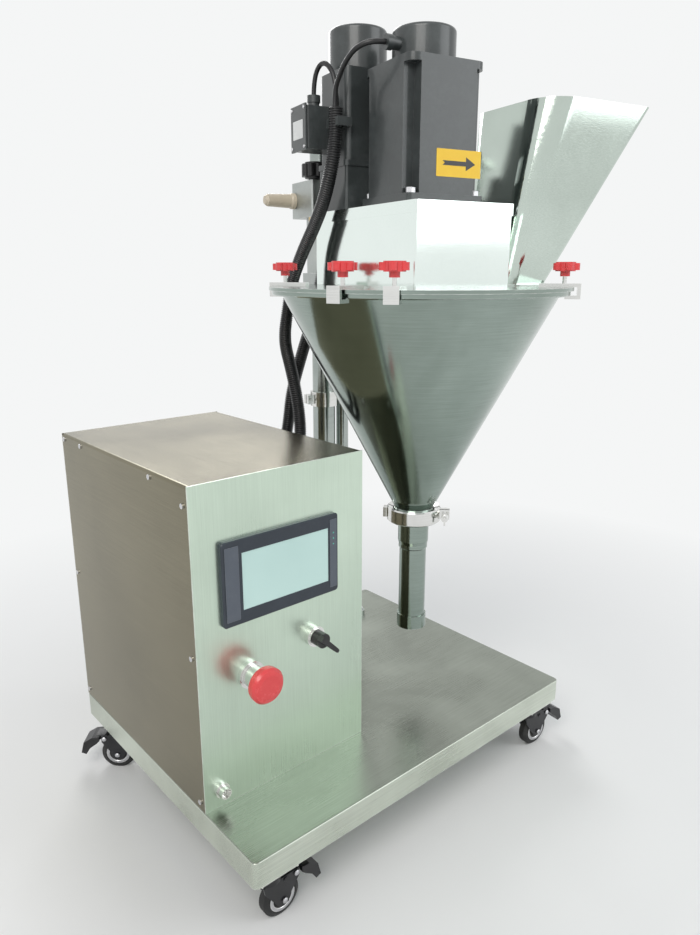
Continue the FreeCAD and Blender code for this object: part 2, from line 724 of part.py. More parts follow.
def column_cap():
    """Plate that ties the tops of the post and the rod together."""
    z0 = T0 + POST_TOP
    plate = rounded_box(POST_X - 28, ROD_X + 20, POST_Y - 28, POST_Y + 28, z0, z0 + 9, 10.0)
    bolt = rod(POST_X, POST_Y, z0 + 9, z0 + 14, 9.0)
    bolt_rod = rod(ROD_X, POST_Y, z0 + 9, z0 + 13, 6.0)
    return on_head(join([plate, bolt, bolt_rod]))


def lift_carriage():
    """Guide block, sleeve and bracket that carry the head on the post."""
    low = T0 + SLEEVE_LOW
    z0 = T0 + BLOCK_LOW
    z1 = T0 + BLOCK_TOP
    x0 = POST_X - 40.0
    x1 = ROD_X + ROD_R + 8.0
    y0 = POST_Y - POST_R - 20.0
    y1 = pitch_line() + 26.0
    block = rounded_box(x0, x1, y0, y1, z0, z1, 4.0)
    foot = rounded_box(POST_X - POST_R - 7, x1, POST_Y - POST_R - 7, POST_Y + POST_R + 7, low, low + 34, 4.0)
    sleeve = rod(POST_X, POST_Y, low, z0, POST_R + 7)
    sleeve_rod = rod(ROD_X, POST_Y, low, z0, ROD_R + 6)
    back_wall = BOX_BACK
    web = box(2.0, 30.0, back_wall + 8, POST_Y - POST_R + 2, T0 + LID_TOP, T0 + BOX_TOP - 8)
    web_foot = box(2.0, 30.0, LID_R + 4, POST_Y - POST_R + 2, low, T0 + LID_TOP)
    plate = box(-12.0, 70.0, back_wall, back_wall + 8, T0 + LID_TOP, T0 + BOX_TOP - 8)
    body = join([block, foot, sleeve, sleeve_rod, web, web_foot, plate])
    body = body.cut(rod(POST_X, POST_Y, low - 1, z1 + 1, POST_R + RUN_FIT))
    body = body.cut(rod(ROD_X, POST_Y, low - 1, z1 + 1, ROD_R + RUN_FIT))
    half = RACK_W / 2 + SEAT
    slot = box(ROD_X - half, ROD_X + half, POST_Y, pitch_line() + 3.0, low - 1, z1 + 1)
    body = body.cut(slot)
    zp = (z0 + z1) / 2
    yp = pitch_line() + pinion_pitch_r()
    body = body.cut(bar(V(ROD_X - half, yp, zp), V(1, 0, 0), 2 * half, pinion_pitch_r() + 4.0))
    body = body.cut(bar(V(x0 - 1, yp, zp), V(1, 0, 0), x1 - x0 - 6.0, PINION_SHAFT_R + RUN_FIT))
    screw = bar(V(x0 + 16, y0 + 2, zp - 8), V(0, -1, 0), 3.4, 5.5)
    screw = screw.cut(bar(V(x0 + 16, y0 - 3, zp - 8), V(0, 1, 0), 3.0, 2.6))
    body = body.fuse(screw)
    body = body.cut(rod(LOCK_X, LOCK_Y, z0 - 1, z1 + 1, 5.0 + RUN_FIT))
    return on_head(body)


def pinion_pitch_r():
    return TOOTH_MODULE * PINION_TEETH / 2


def lift_handle():
    """Pinion, its shaft and the tapered hand grip."""
    r = pinion_pitch_r()
    zp = T0 + (BLOCK_LOW + BLOCK_TOP) / 2
    yp = pitch_line() + r
    points = []
    step = 2 * math.pi / PINION_TEETH
    root = r - 1.15 * TOOTH_MODULE
    tip = r + 0.85 * TOOTH_MODULE
    for i in range(PINION_TEETH):
        a = -math.pi + (i + 0.5) * step
        for da, rad in ((-0.30, root), (-0.10, tip), (0.10, tip), (0.30, root)):
            b = a + da * step
            points.append((0, rad * math.cos(b), rad * math.sin(b)))
    width = RACK_W - 1.0
    gear = prism(points, V(width, 0, 0))
    gear.translate(V(ROD_X - width / 2, yp, zp))
    x0 = POST_X - 40.0
    shaft = bar(V(x0 - 8, yp, zp), V(1, 0, 0), ROD_X + width / 2 + 6 - x0 + 8, PINION_SHAFT_R)
    grip = turned([(0, 0), (GRIP_R, 0), (GRIP_R, 6.0), (GRIP_R - 1.5, 9.0), (GRIP_TIP_R, HANDLE_L - 5.0),
                   (GRIP_TIP_R - 3.5, HANDLE_L), (0, HANDLE_L)])
    grip.rotate(V(0, 0, 0), V(0, 1, 0), -90)
    grip.translate(V(x0 - SEAT, yp, zp))
    return on_head(join([gear, shaft, grip]))


def lock_knob():
    """Lobed knob over the guide block, its screw and the round brass nut below."""
    z0 = T0 + BLOCK_LOW
    z1 = T0 + BLOCK_TOP
    knob = lobed_knob(LOCK_R, LOCK_H, 8, LOCK_X, LOCK_Y, z1 + 2.0)
    collar = rod(LOCK_X, LOCK_Y, z1 + SEAT, z1 + 2.0, 10.0)
    screw = rod(LOCK_X, LOCK_Y, z0 - 30, z1 + 2.0, 5.0)
    nut = turned([(5.0, -36.0), (8.0, -36.0), (11.0, -26.0), (11.0, -SEAT), (5.0, -SEAT)])
    nut.translate(V(LOCK_X, LOCK_Y, z0))
    return group([on_head(join([knob, collar, screw])), on_head(nut)])


# ---- hopper, lid and dosing tube ----------------------------------------
def hopper_cone():
    """Spun cone with a flat rim above and a clamp ferrule below."""
    t = SHEET
    r0 = CONE_BOTTOM_R
    slope = (LID_TOP - LID_T - RIM_T - CONE_BOTTOM) / (CONE_TOP_R - r0)
    wall = t * math.sqrt(1 + 1 / slope ** 2)
    top = LID_TOP - LID_T
    outline = [(r0, CLAMP_MID), (FERRULE_R, CLAMP_MID), (FERRULE_R, CLAMP_MID + 2.4),
               (r0 + 1.4, CLAMP_MID + 5.0), (r0, CONE_BOTTOM), (CONE_TOP_R, top - RIM_T),
               (RIM_R - 1.5, top - RIM_T), (RIM_R, top - RIM_T + 1.5), (RIM_R, top),
               (CONE_TOP_R - wall + RIM_T / slope * 0.2, top),
               (CONE_TOP_R - wall, top - RIM_T), (r0 - wall, CONE_BOTTOM), (r0 - wall, CLAMP_MID)]
    cone = turned(outline)
    cone.translate(V(0, 0, T0))
    return on_head(cone)


def dosing_tube():
    """Ferrule, neck, tube and the bright collar at its mouth."""
    outline = [(TUBE_BORE_R, CLAMP_MID), (FERRULE_R, CLAMP_MID), (FERRULE_R, CLAMP_MID - 2.4),
               (NECK_R + 1.4, CLAMP_MID - FERRULE_T), (NECK_R, CLAMP_MID - FERRULE_T - 4.0),
               (NECK_R, TUBE_STEP + 12.0), (TUBE_R + 1.6, TUBE_STEP + 6.0),
               (TUBE_R + 1.6, TUBE_STEP), (TUBE_R, TUBE_STEP - 2.0),
               (TUBE_R, TUBE_BOTTOM + TUBE_COLLAR_H), (TUBE_COLLAR_R, TUBE_BOTTOM + TUBE_COLLAR_H),
               (TUBE_COLLAR_R, TUBE_BOTTOM), (TUBE_BORE_R, TUBE_BOTTOM)]
    body = turned(outline)
    body.translate(V(0, 0, T0))
    return on_head(body)


def tri_clamp():
    """Two grooved half rings, hinged at one side and bolted at the other."""
    z0 = CLAMP_MID - CLAMP_H / 2
    z1 = CLAMP_MID + CLAMP_H / 2
    ring = turned([(FERRULE_R - 3.0, z0 + 3.5), (CLAMP_R - 2.0, z0), (CLAMP_R, z0 + 2.0),
                   (CLAMP_R, z1 - 2.0), (CLAMP_R - 2.0, z1), (FERRULE_R - 3.0, z1 - 3.5),
                   (FERRULE_R - 1.8, CLAMP_MID + 4.0), (FERRULE_R, CLAMP_MID + 2.4),
                   (FERRULE_R, CLAMP_MID - 2.4), (FERRULE_R - 1.8, CLAMP_MID - 4.0)])
    gap = box(-80, 80, -1.5, 1.5, z0 - 1, z1 + 1)
    halves = ring.cut(gap).Solids
    lugs = []
    for side in (-1, 1):
        half = [h for h in halves if side * h.CenterOfMass.y > 0][0]
        bolt_lug = box(CLAMP_R - 3, CLAMP_BOLT_X + 7, min(side * 1.5, side * 9), max(side * 1.5, side * 9),
                       CLAMP_MID - 7, CLAMP_MID + 7)
        hinge_lug = box(-CLAMP_R - 6, -CLAMP_R + 3, min(side * 1.5, side * 7), max(side * 1.5, side * 7),
                        CLAMP_MID - 8, CLAMP_MID + 8)
        half = join([half, bolt_lug, hinge_lug])
        half = half.cut(bar(V(CLAMP_BOLT_X, -20, CLAMP_MID), V(0, 1, 0), 40, 3.1))
        lugs.append(half)
    bolt = join([bar(V(CLAMP_BOLT_X, -31, CLAMP_MID), V(0, 1, 0), 41, 3.0),
                 bar(V(CLAMP_BOLT_X, 9, CLAMP_MID), V(0, 1, 0), 5, 6.0)])
    link = box(-CLAMP_R - 5, -CLAMP_R - 1, -1.5, 1.5, CLAMP_MID - 6, CLAMP_MID + 6)
    clamp = group(lugs + [bolt, link])
    return on_head(turn_clamp(clamp))


CLAMP_TURN = -38.0


def turn_clamp(shape):
    moved = shape.copy()
    moved.rotate(V(0, 0, 0), V(0, 0, 1), CLAMP_TURN)
    moved.translate(V(0, 0, T0))
    return moved


def clamp_wing_nut():
    y = -9.0 - SEAT
    hub = bar(V(CLAMP_BOLT_X, y, CLAMP_MID), V(0, -1, 0), 19.0, 5.5)
    wings = []
    for side in (-1, 1):
        wings.append(prism(((CLAMP_BOLT_X - 1.5, y - 12, CLAMP_MID + side * 4),
                            (CLAMP_BOLT_X - 1.5, y - 13, CLAMP_MID + side * 11),
                            (CLAMP_BOLT_X - 1.5, y - 18, CLAMP_MID + side * 12),
                            (CLAMP_BOLT_X - 1.5, y - 17, CLAMP_MID + side * 4)), V(3, 0, 0)))
    nut = join([hub] + wings)
    nut = nut.cut(bar(V(CLAMP_BOLT_X, 5, CLAMP_MID), V(0, -1, 0), 40, 3.0 + RUN_FIT))
    return on_head(turn_clamp(nut))


def lid_plate():
    z1 = T0 + LID_TOP
    disc = rod(0, 0, z1 - LID_T, z1, LID_R)
    disc = disc.cut(rod(0, 0, z1 - LID_T - 1, z1 + 1, LID_CENTRE_HOLE_R))
    x0, x1, half = CHUTE_LOW
    opening = Part.Face(rounded_wire(x0 + SHEET, x1 - SHEET, -half + SHEET, half - SHEET,
                                     z1 - LID_T - 1, CHUTE_LOW_R - SHEET)).extrude(V(0, 0, LID_T + 2))
    return on_head(disc.cut(opening))


def around(shape, angle):
    """Turn a shape made on the head's +x side to its place round the lid."""
    moved = shape.copy()
    moved.rotate(V(0, 0, 0), V(0, 0, 1), angle)
    return moved


def lid_clamps():
    """Hooked brackets that pull the hopper's rim up against the lid."""
    parts = []
    top = T0 + LID_TOP
    low = top - LID_T - RIM_T
    half = LID_CLAMP_W / 2
    out = LID_R + LID_CLAMP_OUT
    for angle in CLAMP_ANGLES:
        upper = box(LID_R - LID_CLAMP_IN, out, -half, half, top, top + LID_CLAMP_T)
        drop = box(out - LID_CLAMP_T, out, -half, half, low - LID_CLAMP_T, top + LID_CLAMP_T)
        hook = box(RIM_R - 9, out, -half, half, low - LID_CLAMP_T, low)
        stud = rod(LID_R - STUD_IN, 0, top + LID_CLAMP_T, T0 + KNOB_Z + 4.0, STUD_R)
        parts.append(on_head(around(join([upper, drop, hook, stud]), angle)))
    return group(parts)


def clamp_knob(angle):
    """Five-lobed red hand knob on a clamp's stud."""
    x = LID_R - STUD_IN
    knob = lobed_knob(KNOB_R, KNOB_H, 5, x, 0, T0 + KNOB_Z)
    boss = rod(x, 0, T0 + KNOB_Z - 7.0, T0 + KNOB_Z, 7.0)
    knob = join([knob, boss])
    knob = knob.cut(rod(x, 0, T0 + KNOB_Z - 8, T0 + KNOB_Z + 4.0 + SEAT, STUD_R + RUN_FIT))
    return on_head(around(knob, angle))


# ---- drive box, motors and chute ----------------------------------------
def drive_box():
    z0 = T0 + LID_TOP
    z1 = T0 + BOX_TOP - SHEET
    outer = rounded_box(-BOX_HALF_W + SHEET, BOX_HALF_W - SHEET, -BOX_FRONT + SHEET, BOX_BACK,
                        z0, z1, 3.0)
    inner = box(-BOX_HALF_W + 2 * SHEET, BOX_HALF_W - 2 * SHEET, -BOX_FRONT + 2 * SHEET,
                BOX_BACK - SHEET, z0 - 1, z1 + 1)
    return on_head(outer.cut(inner))


def drive_box_cover():
    """Thick top plate with a lip that wraps the box, bored for both motors."""
    z1 = T0 + BOX_TOP
    outer = rounded_box(-BOX_HALF_W, BOX_HALF_W, -BOX_FRONT, BOX_BACK, z1 - BOX_LIP, z1, 4.0)
    inner = rounded_box(-BOX_HALF_W + SHEET, BOX_HALF_W - SHEET, -BOX_FRONT + SHEET, BOX_BACK + 9,
                        z1 - BOX_LIP - 1, z1 - SHEET, 3.0)
    cover = outer.cut(inner)
    cover = cover.cut(rod(0, 0, z1 - 5, z1 + 1, 30.0))
    cover = cover.cut(rod(STIR_X, STIR_Y, z1 - 5, z1 + 1, 20.0))
    return on_head(cover)


def grooved_column(half, z0, z1, cut):
    """Square motor body with a channel along each corner."""
    body = box(-half, half, -half, half, z0, z1)
    for sx in (-1, 1):
        for sy in (-1, 1):
            body = body.cut(box(min(sx * half, sx * (half - cut)), max(sx * half, sx * (half - cut)),
                                min(sy * half, sy * (half - cut)), max(sy * half, sy * (half - cut)),
                                z0 - 1, z1 + 1))
    return body


def auger_motor():
    """Servo motor: square flange, grooved body, round encoder cap and shaft."""
    half = SERVO_SIDE / 2
    z0 = T0 + BOX_TOP
    z1 = z0 + SERVO_FLANGE_T
    flange = rounded_box(-half, half, -half, half, z0, z1, 6.0)
    body = grooved_column(half - 2.0, z1, T0 + SERVO_TOP - 10, 17.0)
    head = rounded_box(-half + 2, half - 2, -half + 2, half - 2, T0 + SERVO_TOP - 10, T0 + SERVO_TOP, 15.0)
    cap = rod(2, 4, T0 + SERVO_TOP, T0 + SERVO_CAP_TOP, SERVO_CAP_R)
    rim = [e for e in cap.Edges if all(abs(v.Point.z - T0 - SERVO_CAP_TOP) < 1e-6 for v in e.Vertexes)]
    cap = cap.makeFillet(5.0, rim)
    step = rod(2, 4, T0 + SERVO_TOP, T0 + SERVO_TOP + 4, SERVO_CAP_R + 3)
    pilot = rod(0, 0, z0 - SHEET, z0, 30.0 - SEAT)
    gland = bar(V(-SERVO_CAP_R + 8, 0, T0 + 990), V(-1, 0, 0), 26, 8.5)
    gland_nut = bar(V(-SERVO_CAP_R - 10, 0, T0 + 990), V(-1, 0, 0), 9, 10.0)
    gland = gland.fuse(gland_nut).cut(bar(V(-SERVO_CAP_R - 10, 0, T0 + 990), V(-1, 0, 0), 30, LEAD_R))
    bolts = []
    for sx in (-1, 1):
        for sy in (-1, 1):
            x = sx * (half - 11)
            y = sy * (half - 11)
            bolts.append(rod(x, y, z1, z1 + 7.0, 6.2))
    motor = join([flange, body, head, cap, step, pilot, gland])
    return on_head(group([motor] + bolts))


def stirrer_motor():
    """Geared motor: square gearhead, body, vented fan cap and terminal box."""
    half = STIR_SIDE / 2
    z0 = T0 + BOX_TOP
    gear = rounded_box(-half, half, -half, half, z0, z0 + 62, 4.0)
    flange = rounded_box(-half - 2, half + 2, -half - 2, half + 2, z0 + 62, z0 + 70, 6.0)
    body = rounded_box(-half + 1.5, half - 1.5, -half + 1.5, half - 1.5, z0 + 70, T0 + STIR_SEAM, 9.0)
    cap = rod(0, 0, T0 + STIR_SEAM, T0 + STIR_TOP, half - 1.0)
    rim = [e for e in cap.Edges if all(abs(v.Point.z - T0 - STIR_TOP) < 1e-6 for v in e.Vertexes)]
    cap = cap.makeFillet(5.0, rim)
    boss = rod(0, 0, z0 - SHEET, z0, 19.0)
    motor = join([gear, flange, body, cap, boss])
    motor.translate(V(STIR_X, STIR_Y, 0))
    clip = stirrer_clip(STIR_X - half, STIR_Y - 28.0)
    return on_head(join([motor, clip]))


def stirrer_clip(face_x, y):
    """Saddle on the motor's flank that holds the hose mouth."""
    z = T0 + 893.0
    pad = box(face_x - 20.5, face_x + 3, y - 30.0, y + 6.0, z, z + 12)
    return pad.cut(rod(HOSE_TOP[0], HOSE_TOP[1], z - 1, z + 14, CONDUIT_R + SEAT))


HOSE_TOP = (-97.0, 84.0)


def terminal_box():
    x1 = STIR_X - STIR_SIDE / 2 + 1.5
    x0 = x1 - 48.0
    body = rounded_box(x0, x1, STIR_Y - 8, STIR_Y + 40, T0 + 866, T0 + 926, 4.0)
    lid = rounded_box(x0 - 3, x0, STIR_Y - 10, STIR_Y + 42, T0 + 864, T0 + 928, 1.0)
    gland = rod(x0 + 24, STIR_Y + 16, T0 + 926, T0 + 940, 8.5)
    nut = rod(x0 + 24, STIR_Y + 16, T0 + 934, T0 + 944, 10.0)
    whole = join([body, lid, gland, nut])
    return on_head(whole.cut(rod(x0 + 24, STIR_Y + 16, T0 + 932, T0 + 950, LEAD_R)))


def feed_chute():
    """Leaning funnel of thin sheet with round corners, open at both ends."""
    z0 = T0 + LID_TOP
    z1 = T0 + CHUTE_TOP
    walls = []
    for inset in (0.0, SHEET):
        low = rounded_wire(CHUTE_LOW[0] + inset, CHUTE_LOW[1] - inset, -CHUTE_LOW[2] + inset,
                           CHUTE_LOW[2] - inset, z0, CHUTE_LOW_R - inset)
        high = rounded_wire(CHUTE_HIGH[0] + inset, CHUTE_HIGH[1] - inset, -CHUTE_HIGH[2] + inset,
                            CHUTE_HIGH[2] - inset, z1, CHUTE_HIGH_R - inset, CHUTE_OUTER_R - inset)
        walls.append(Part.makeLoft([low, high], True, True))
    chute = walls[0].cut(walls[1])
    foot_outer = Part.Face(rounded_wire(CHUTE_LOW[0] - 9, CHUTE_LOW[1] + 9, -CHUTE_LOW[2] - 9,
                                        CHUTE_LOW[2] + 9, z0, CHUTE_LOW_R + 9)).extrude(V(0, 0, SHEET))
    foot_inner = Part.Face(rounded_wire(CHUTE_LOW[0] + SHEET, CHUTE_LOW[1] - SHEET,
                                        -CHUTE_LOW[2] + SHEET, CHUTE_LOW[2] - SHEET, z0,
                                        CHUTE_LOW_R - SHEET)).extrude(V(0, 0, SHEET))
    flange = foot_outer.cut(foot_inner)
    return on_head(chute.fuse(flange).removeSplitter())


# ---- drive train ---------------------------------------------------------
def bearing_housing():
    """Flanged housing on the lid that carries the hollow stirrer shaft."""
    z0 = T0 + LID_TOP
    body = turned([(HOLLOW_R + RUN_FIT, -26.0), (LID_CENTRE_HOLE_R - 1.0, -26.0), (LID_CENTRE_HOLE_R - 1.0, 0.0),
                   (HOUSING_FLANGE_R, 0.0), (HOUSING_FLANGE_R, 8.0), (HOUSING_R, 8.0),
                   (HOUSING_R - 3.0, 34.0), (HOLLOW_R + RUN_FIT, 34.0)])
    body.translate(V(0, 0, z0))
    bolts = [rod(41 * math.cos(a), 41 * math.sin(a), z0 + 8, z0 + 13, 4.5)
             for a in (math.pi / 4 + i * math.pi / 2 for i in range(4))]
    return on_head(group([body] + bolts))


def auger_screw():
    """Shaft with a helical flight, the coupling and the motor's output shaft."""
    end = T0 + BOX_TOP - SHEET - SEAT
    meet = end - SERVO_SHAFT_L
    shaft = rod(0, 0, T0 + AUGER_TIP, meet, AUGER_SHAFT_R)
    tip = Part.makeCone(1.5, AUGER_SHAFT_R, 8.0, V(0, 0, T0 + AUGER_TIP - 8.0), V(0, 0, 1))
    root = AUGER_SHAFT_R - 0.6
    helix = Part.makeHelix(FLIGHT_PITCH, FLIGHT_TOP - AUGER_TIP - 2 * FLIGHT_T, root)
    half = FLIGHT_T / 2
    section = Part.makePolygon([V(root, 0, -half), V(FLIGHT_R, 0, -half), V(FLIGHT_R, 0, half),
                                V(root, 0, half), V(root, 0, -half)])
    flight = Part.Wire(helix).makePipeShell([section], True, True)
    flight.translate(V(0, 0, T0 + AUGER_TIP + FLIGHT_T))
    screw = shaft.fuse([tip, flight])
    coupling = turned([(AUGER_SHAFT_R, -16.0), (COUPLING_R - 1.5, -16.0), (COUPLING_R, -14.5),
                       (COUPLING_R, -2.0), (COUPLING_R - 2.0, -1.0), (COUPLING_R - 2.0, 1.0),
                       (COUPLING_R, 2.0), (COUPLING_R, 13.5), (COUPLING_R - 1.5, 15.0),
                       (SERVO_SHAFT_R, 15.0), (SERVO_SHAFT_R, 0.0), (AUGER_SHAFT_R, 0.0)])
    coupling.translate(V(0, 0, meet))
    output = rod(0, 0, meet, end, SERVO_SHAFT_R)
    return on_head(group([screw, coupling, output]))


def cone_inner_radius(z):
    slope = (CONE_TOP_R - CONE_BOTTOM_R) / (LID_TOP - LID_T - RIM_T - CONE_BOTTOM)
    return CONE_BOTTOM_R + (z - CONE_BOTTOM) * slope - SHEET * 1.2


def agitator():
    """Hollow shaft with its pulley, two scraper blades and their spokes."""
    z_top = T0 + BELT_Z + BELT_W + 3.0
    z_low = T0 + 380.0
    hollow = tube(0, 0, z_low, z_top, HOLLOW_R, HOLLOW_BORE_R)
    pulley = pulley_shape(DRIVE_PULLEY_R, HOLLOW_R, 0, 0)
    blades = []
    lo = 372.0
    hi = 628.0
    for side in (0, 180):
        r_lo = cone_inner_radius(lo) - SCRAPER_GAP
        r_hi = cone_inner_radius(hi) - SCRAPER_GAP
        blade = prism(((r_lo - SCRAPER_T, -SCRAPER_W / 2, T0 + lo), (r_lo, -SCRAPER_W / 2, T0 + lo),
                       (r_hi, -SCRAPER_W / 2, T0 + hi), (r_hi - SCRAPER_T, -SCRAPER_W / 2, T0 + hi)),
                      V(0, SCRAPER_W, 0))
        z_spoke = 600.0 if side == 0 else 560.0
        reach = cone_inner_radius(z_spoke) - SCRAPER_GAP - SCRAPER_T / 2
        spoke = bar(V(HOLLOW_R - 2, 0, T0 + z_spoke), V(1, 0, 0), reach - HOLLOW_R + 2, 6.0)
        z_foot = 412.0
        reach = cone_inner_radius(z_foot) - SCRAPER_GAP - SCRAPER_T / 2
        foot = bar(V(HOLLOW_R - 2, 0, T0 + z_foot), V(1, 0, 0), reach - HOLLOW_R + 2, 5.0)
        blades.append(around(join([blade, spoke, foot]), side + 20))
    return on_head(group([join([hollow] + blades), pulley]))


def pulley_shape(radius, bore, x, y):
    """Flanged belt pulley about a vertical axis."""
    z0 = -2.0
    z1 = BELT_W + 2.0
    rim = radius + 3.5
    wheel = turned([(bore, z0), (rim, z0), (rim, z0 + 1.5), (radius, z0 + 1.5), (radius, z1 - 1.5),
                    (rim, z1 - 1.5), (rim, z1), (bore, z1)])
    wheel.translate(V(x, y, T0 + BELT_Z))
    return wheel


def stirrer_pulley():
    """Small pulley on the stirrer motor's output shaft."""
    wheel = pulley_shape(STIR_PULLEY_R, STIR_SHAFT_R, STIR_X, STIR_Y)
    shaft = rod(STIR_X, STIR_Y, T0 + BELT_Z - 4.0, T0 + BOX_TOP - SHEET - SEAT, STIR_SHAFT_R)
    return on_head(join([wheel, shaft]))


def drive_belt():
    """Flat closed belt round both pulleys."""
    r0 = DRIVE_PULLEY_R + SEAT
    r1 = STIR_PULLEY_R + SEAT
    outer = belt_face(r0 + BELT_T, r1 + BELT_T)
    inner = belt_face(r0, r1)
    return on_head(outer.cut(inner))


def belt_face(r0, r1):
    """Solid hull of two discs, as high as the belt is wide."""
    dist = math.hypot(STIR_X, STIR_Y)
    heading = math.atan2(STIR_Y, STIR_X)
    lean = math.acos((r0 - r1) / dist)
    z = T0 + BELT_Z + 0.5
    up = heading + lean
    down = heading - lean

    def at(x, y, radius, angle):
        return V(x + radius * math.cos(angle), y + radius * math.sin(angle), z)

    big = Part.Arc(at(0, 0, r0, up), at(0, 0, r0, heading + math.pi), at(0, 0, r0, down))
    small = Part.Arc(at(STIR_X, STIR_Y, r1, down), at(STIR_X, STIR_Y, r1, heading),
                     at(STIR_X, STIR_Y, r1, up))
    side_a = Part.LineSegment(at(0, 0, r0, down), at(STIR_X, STIR_Y, r1, down))
    side_b = Part.LineSegment(at(STIR_X, STIR_Y, r1, up), at(0, 0, r0, up))
    wire = Part.Wire([big.toShape(), side_a.toShape(), small.toShape(), side_b.toShape()])
    return Part.Face(wire).extrude(V(0, 0, BELT_W - 1.0))


# ---- hoses and leads -----------------------------------------------------
def hose(points, radius):
    """Round tube along straight runs joined by tangent arcs."""
    edges = []
    radii = []
    length = 0.0
    last = points[0]
    for i in range(1, len(points) - 1):
        a = points[i] - points[i - 1]
        b = points[i + 1] - points[i]
        run = min(a.Length, b.Length)
        a.normalize()
        b.normalize()
        turn = math.acos(max(-1.0, min(1.0, a.dot(b))))
        trim = 0.45 * run
        arc_r = trim / math.tan(turn / 2)
        radii.append(round(arc_r, 1))
        start = points[i] - a * trim
        end = points[i] + b * trim
        inward = b - a
        inward.normalize()
        centre_gap = arc_r / math.cos(turn / 2)
        middle = points[i] + inward * (centre_gap - arc_r)
        edges.append(Part.LineSegment(last, start).toShape())
        edges.append(Part.Arc(start, middle, end).toShape())
        last = end
    edges.append(Part.LineSegment(last, points[-1]).toShape())
    path = Part.Wire(edges)
    length = path.Length
    first = points[1] - points[0]
    ring = Part.Wire(Part.Circle(points[0], first, radius).toShape())
    solid = path.makePipeShell([ring], True, False)
    return solid, radii, length


def auger_hose_route():
    x, y, z = cabinet_gland_places()[0]
    return [head_point(HOSE_TOP[0], HOSE_TOP[1], 919), head_point(HOSE_TOP[0], HOSE_TOP[1], 873),
            head_point(-102, 92, 829), head_point(-101, 118, 790), head_point(-104, 150, 752),
            head_point(-109, 184, 714), head_point(-117, 208, 670), head_point(-120, 221, 622),
            V(356, 404, T0 + 574), V(347, 374, T0 + 532), V(344, 356, T0 + 490),
            V(344, 347, T0 + 448), V(341, 343, T0 + 412), V(328, y, T0 + 380),
            V(308, y, z), V(x + 5, y, z)]


def stirrer_hose_route():
    x, y, z = cabinet_gland_places()[1]
    return [head_point(-28, 202, 860), head_point(-27, 216, 812), head_point(-31, 226, 762),
            head_point(-39, 236, 712), head_point(-48, 243, 662), head_point(-60, 240, 614),
            V(406, 408, T0 + 570), V(382, 400, T0 + 526), V(363, 396, T0 + 482),
            V(354, 392, T0 + 442), V(346, 390, T0 + 410), V(330, y, T0 + 380),
            V(308, y, z), V(x + 5, y, z)]


def lead_routes():
    motor = [head_point(-SERVO_CAP_R - 10, 0, 990), head_point(-80, 0, 990),
             head_point(-99, 17, 984), head_point(-104, 41, 970), head_point(-102, 65, 954),
             head_point(-100, 81, 940), head_point(-100, 81, 919 + SEAT)]
    x = STIR_X - STIR_SIDE / 2 + 1.5 - 24.0
    y = STIR_Y + 16
    stirrer = [head_point(x, y, 936), head_point(x, y, 966), head_point(x + 3, y - 18, 987),
               head_point(x + 7, y - 41, 978), head_point(-94, 87, 949),
               head_point(-94, 87, 919 + SEAT)]
    return motor, stirrer


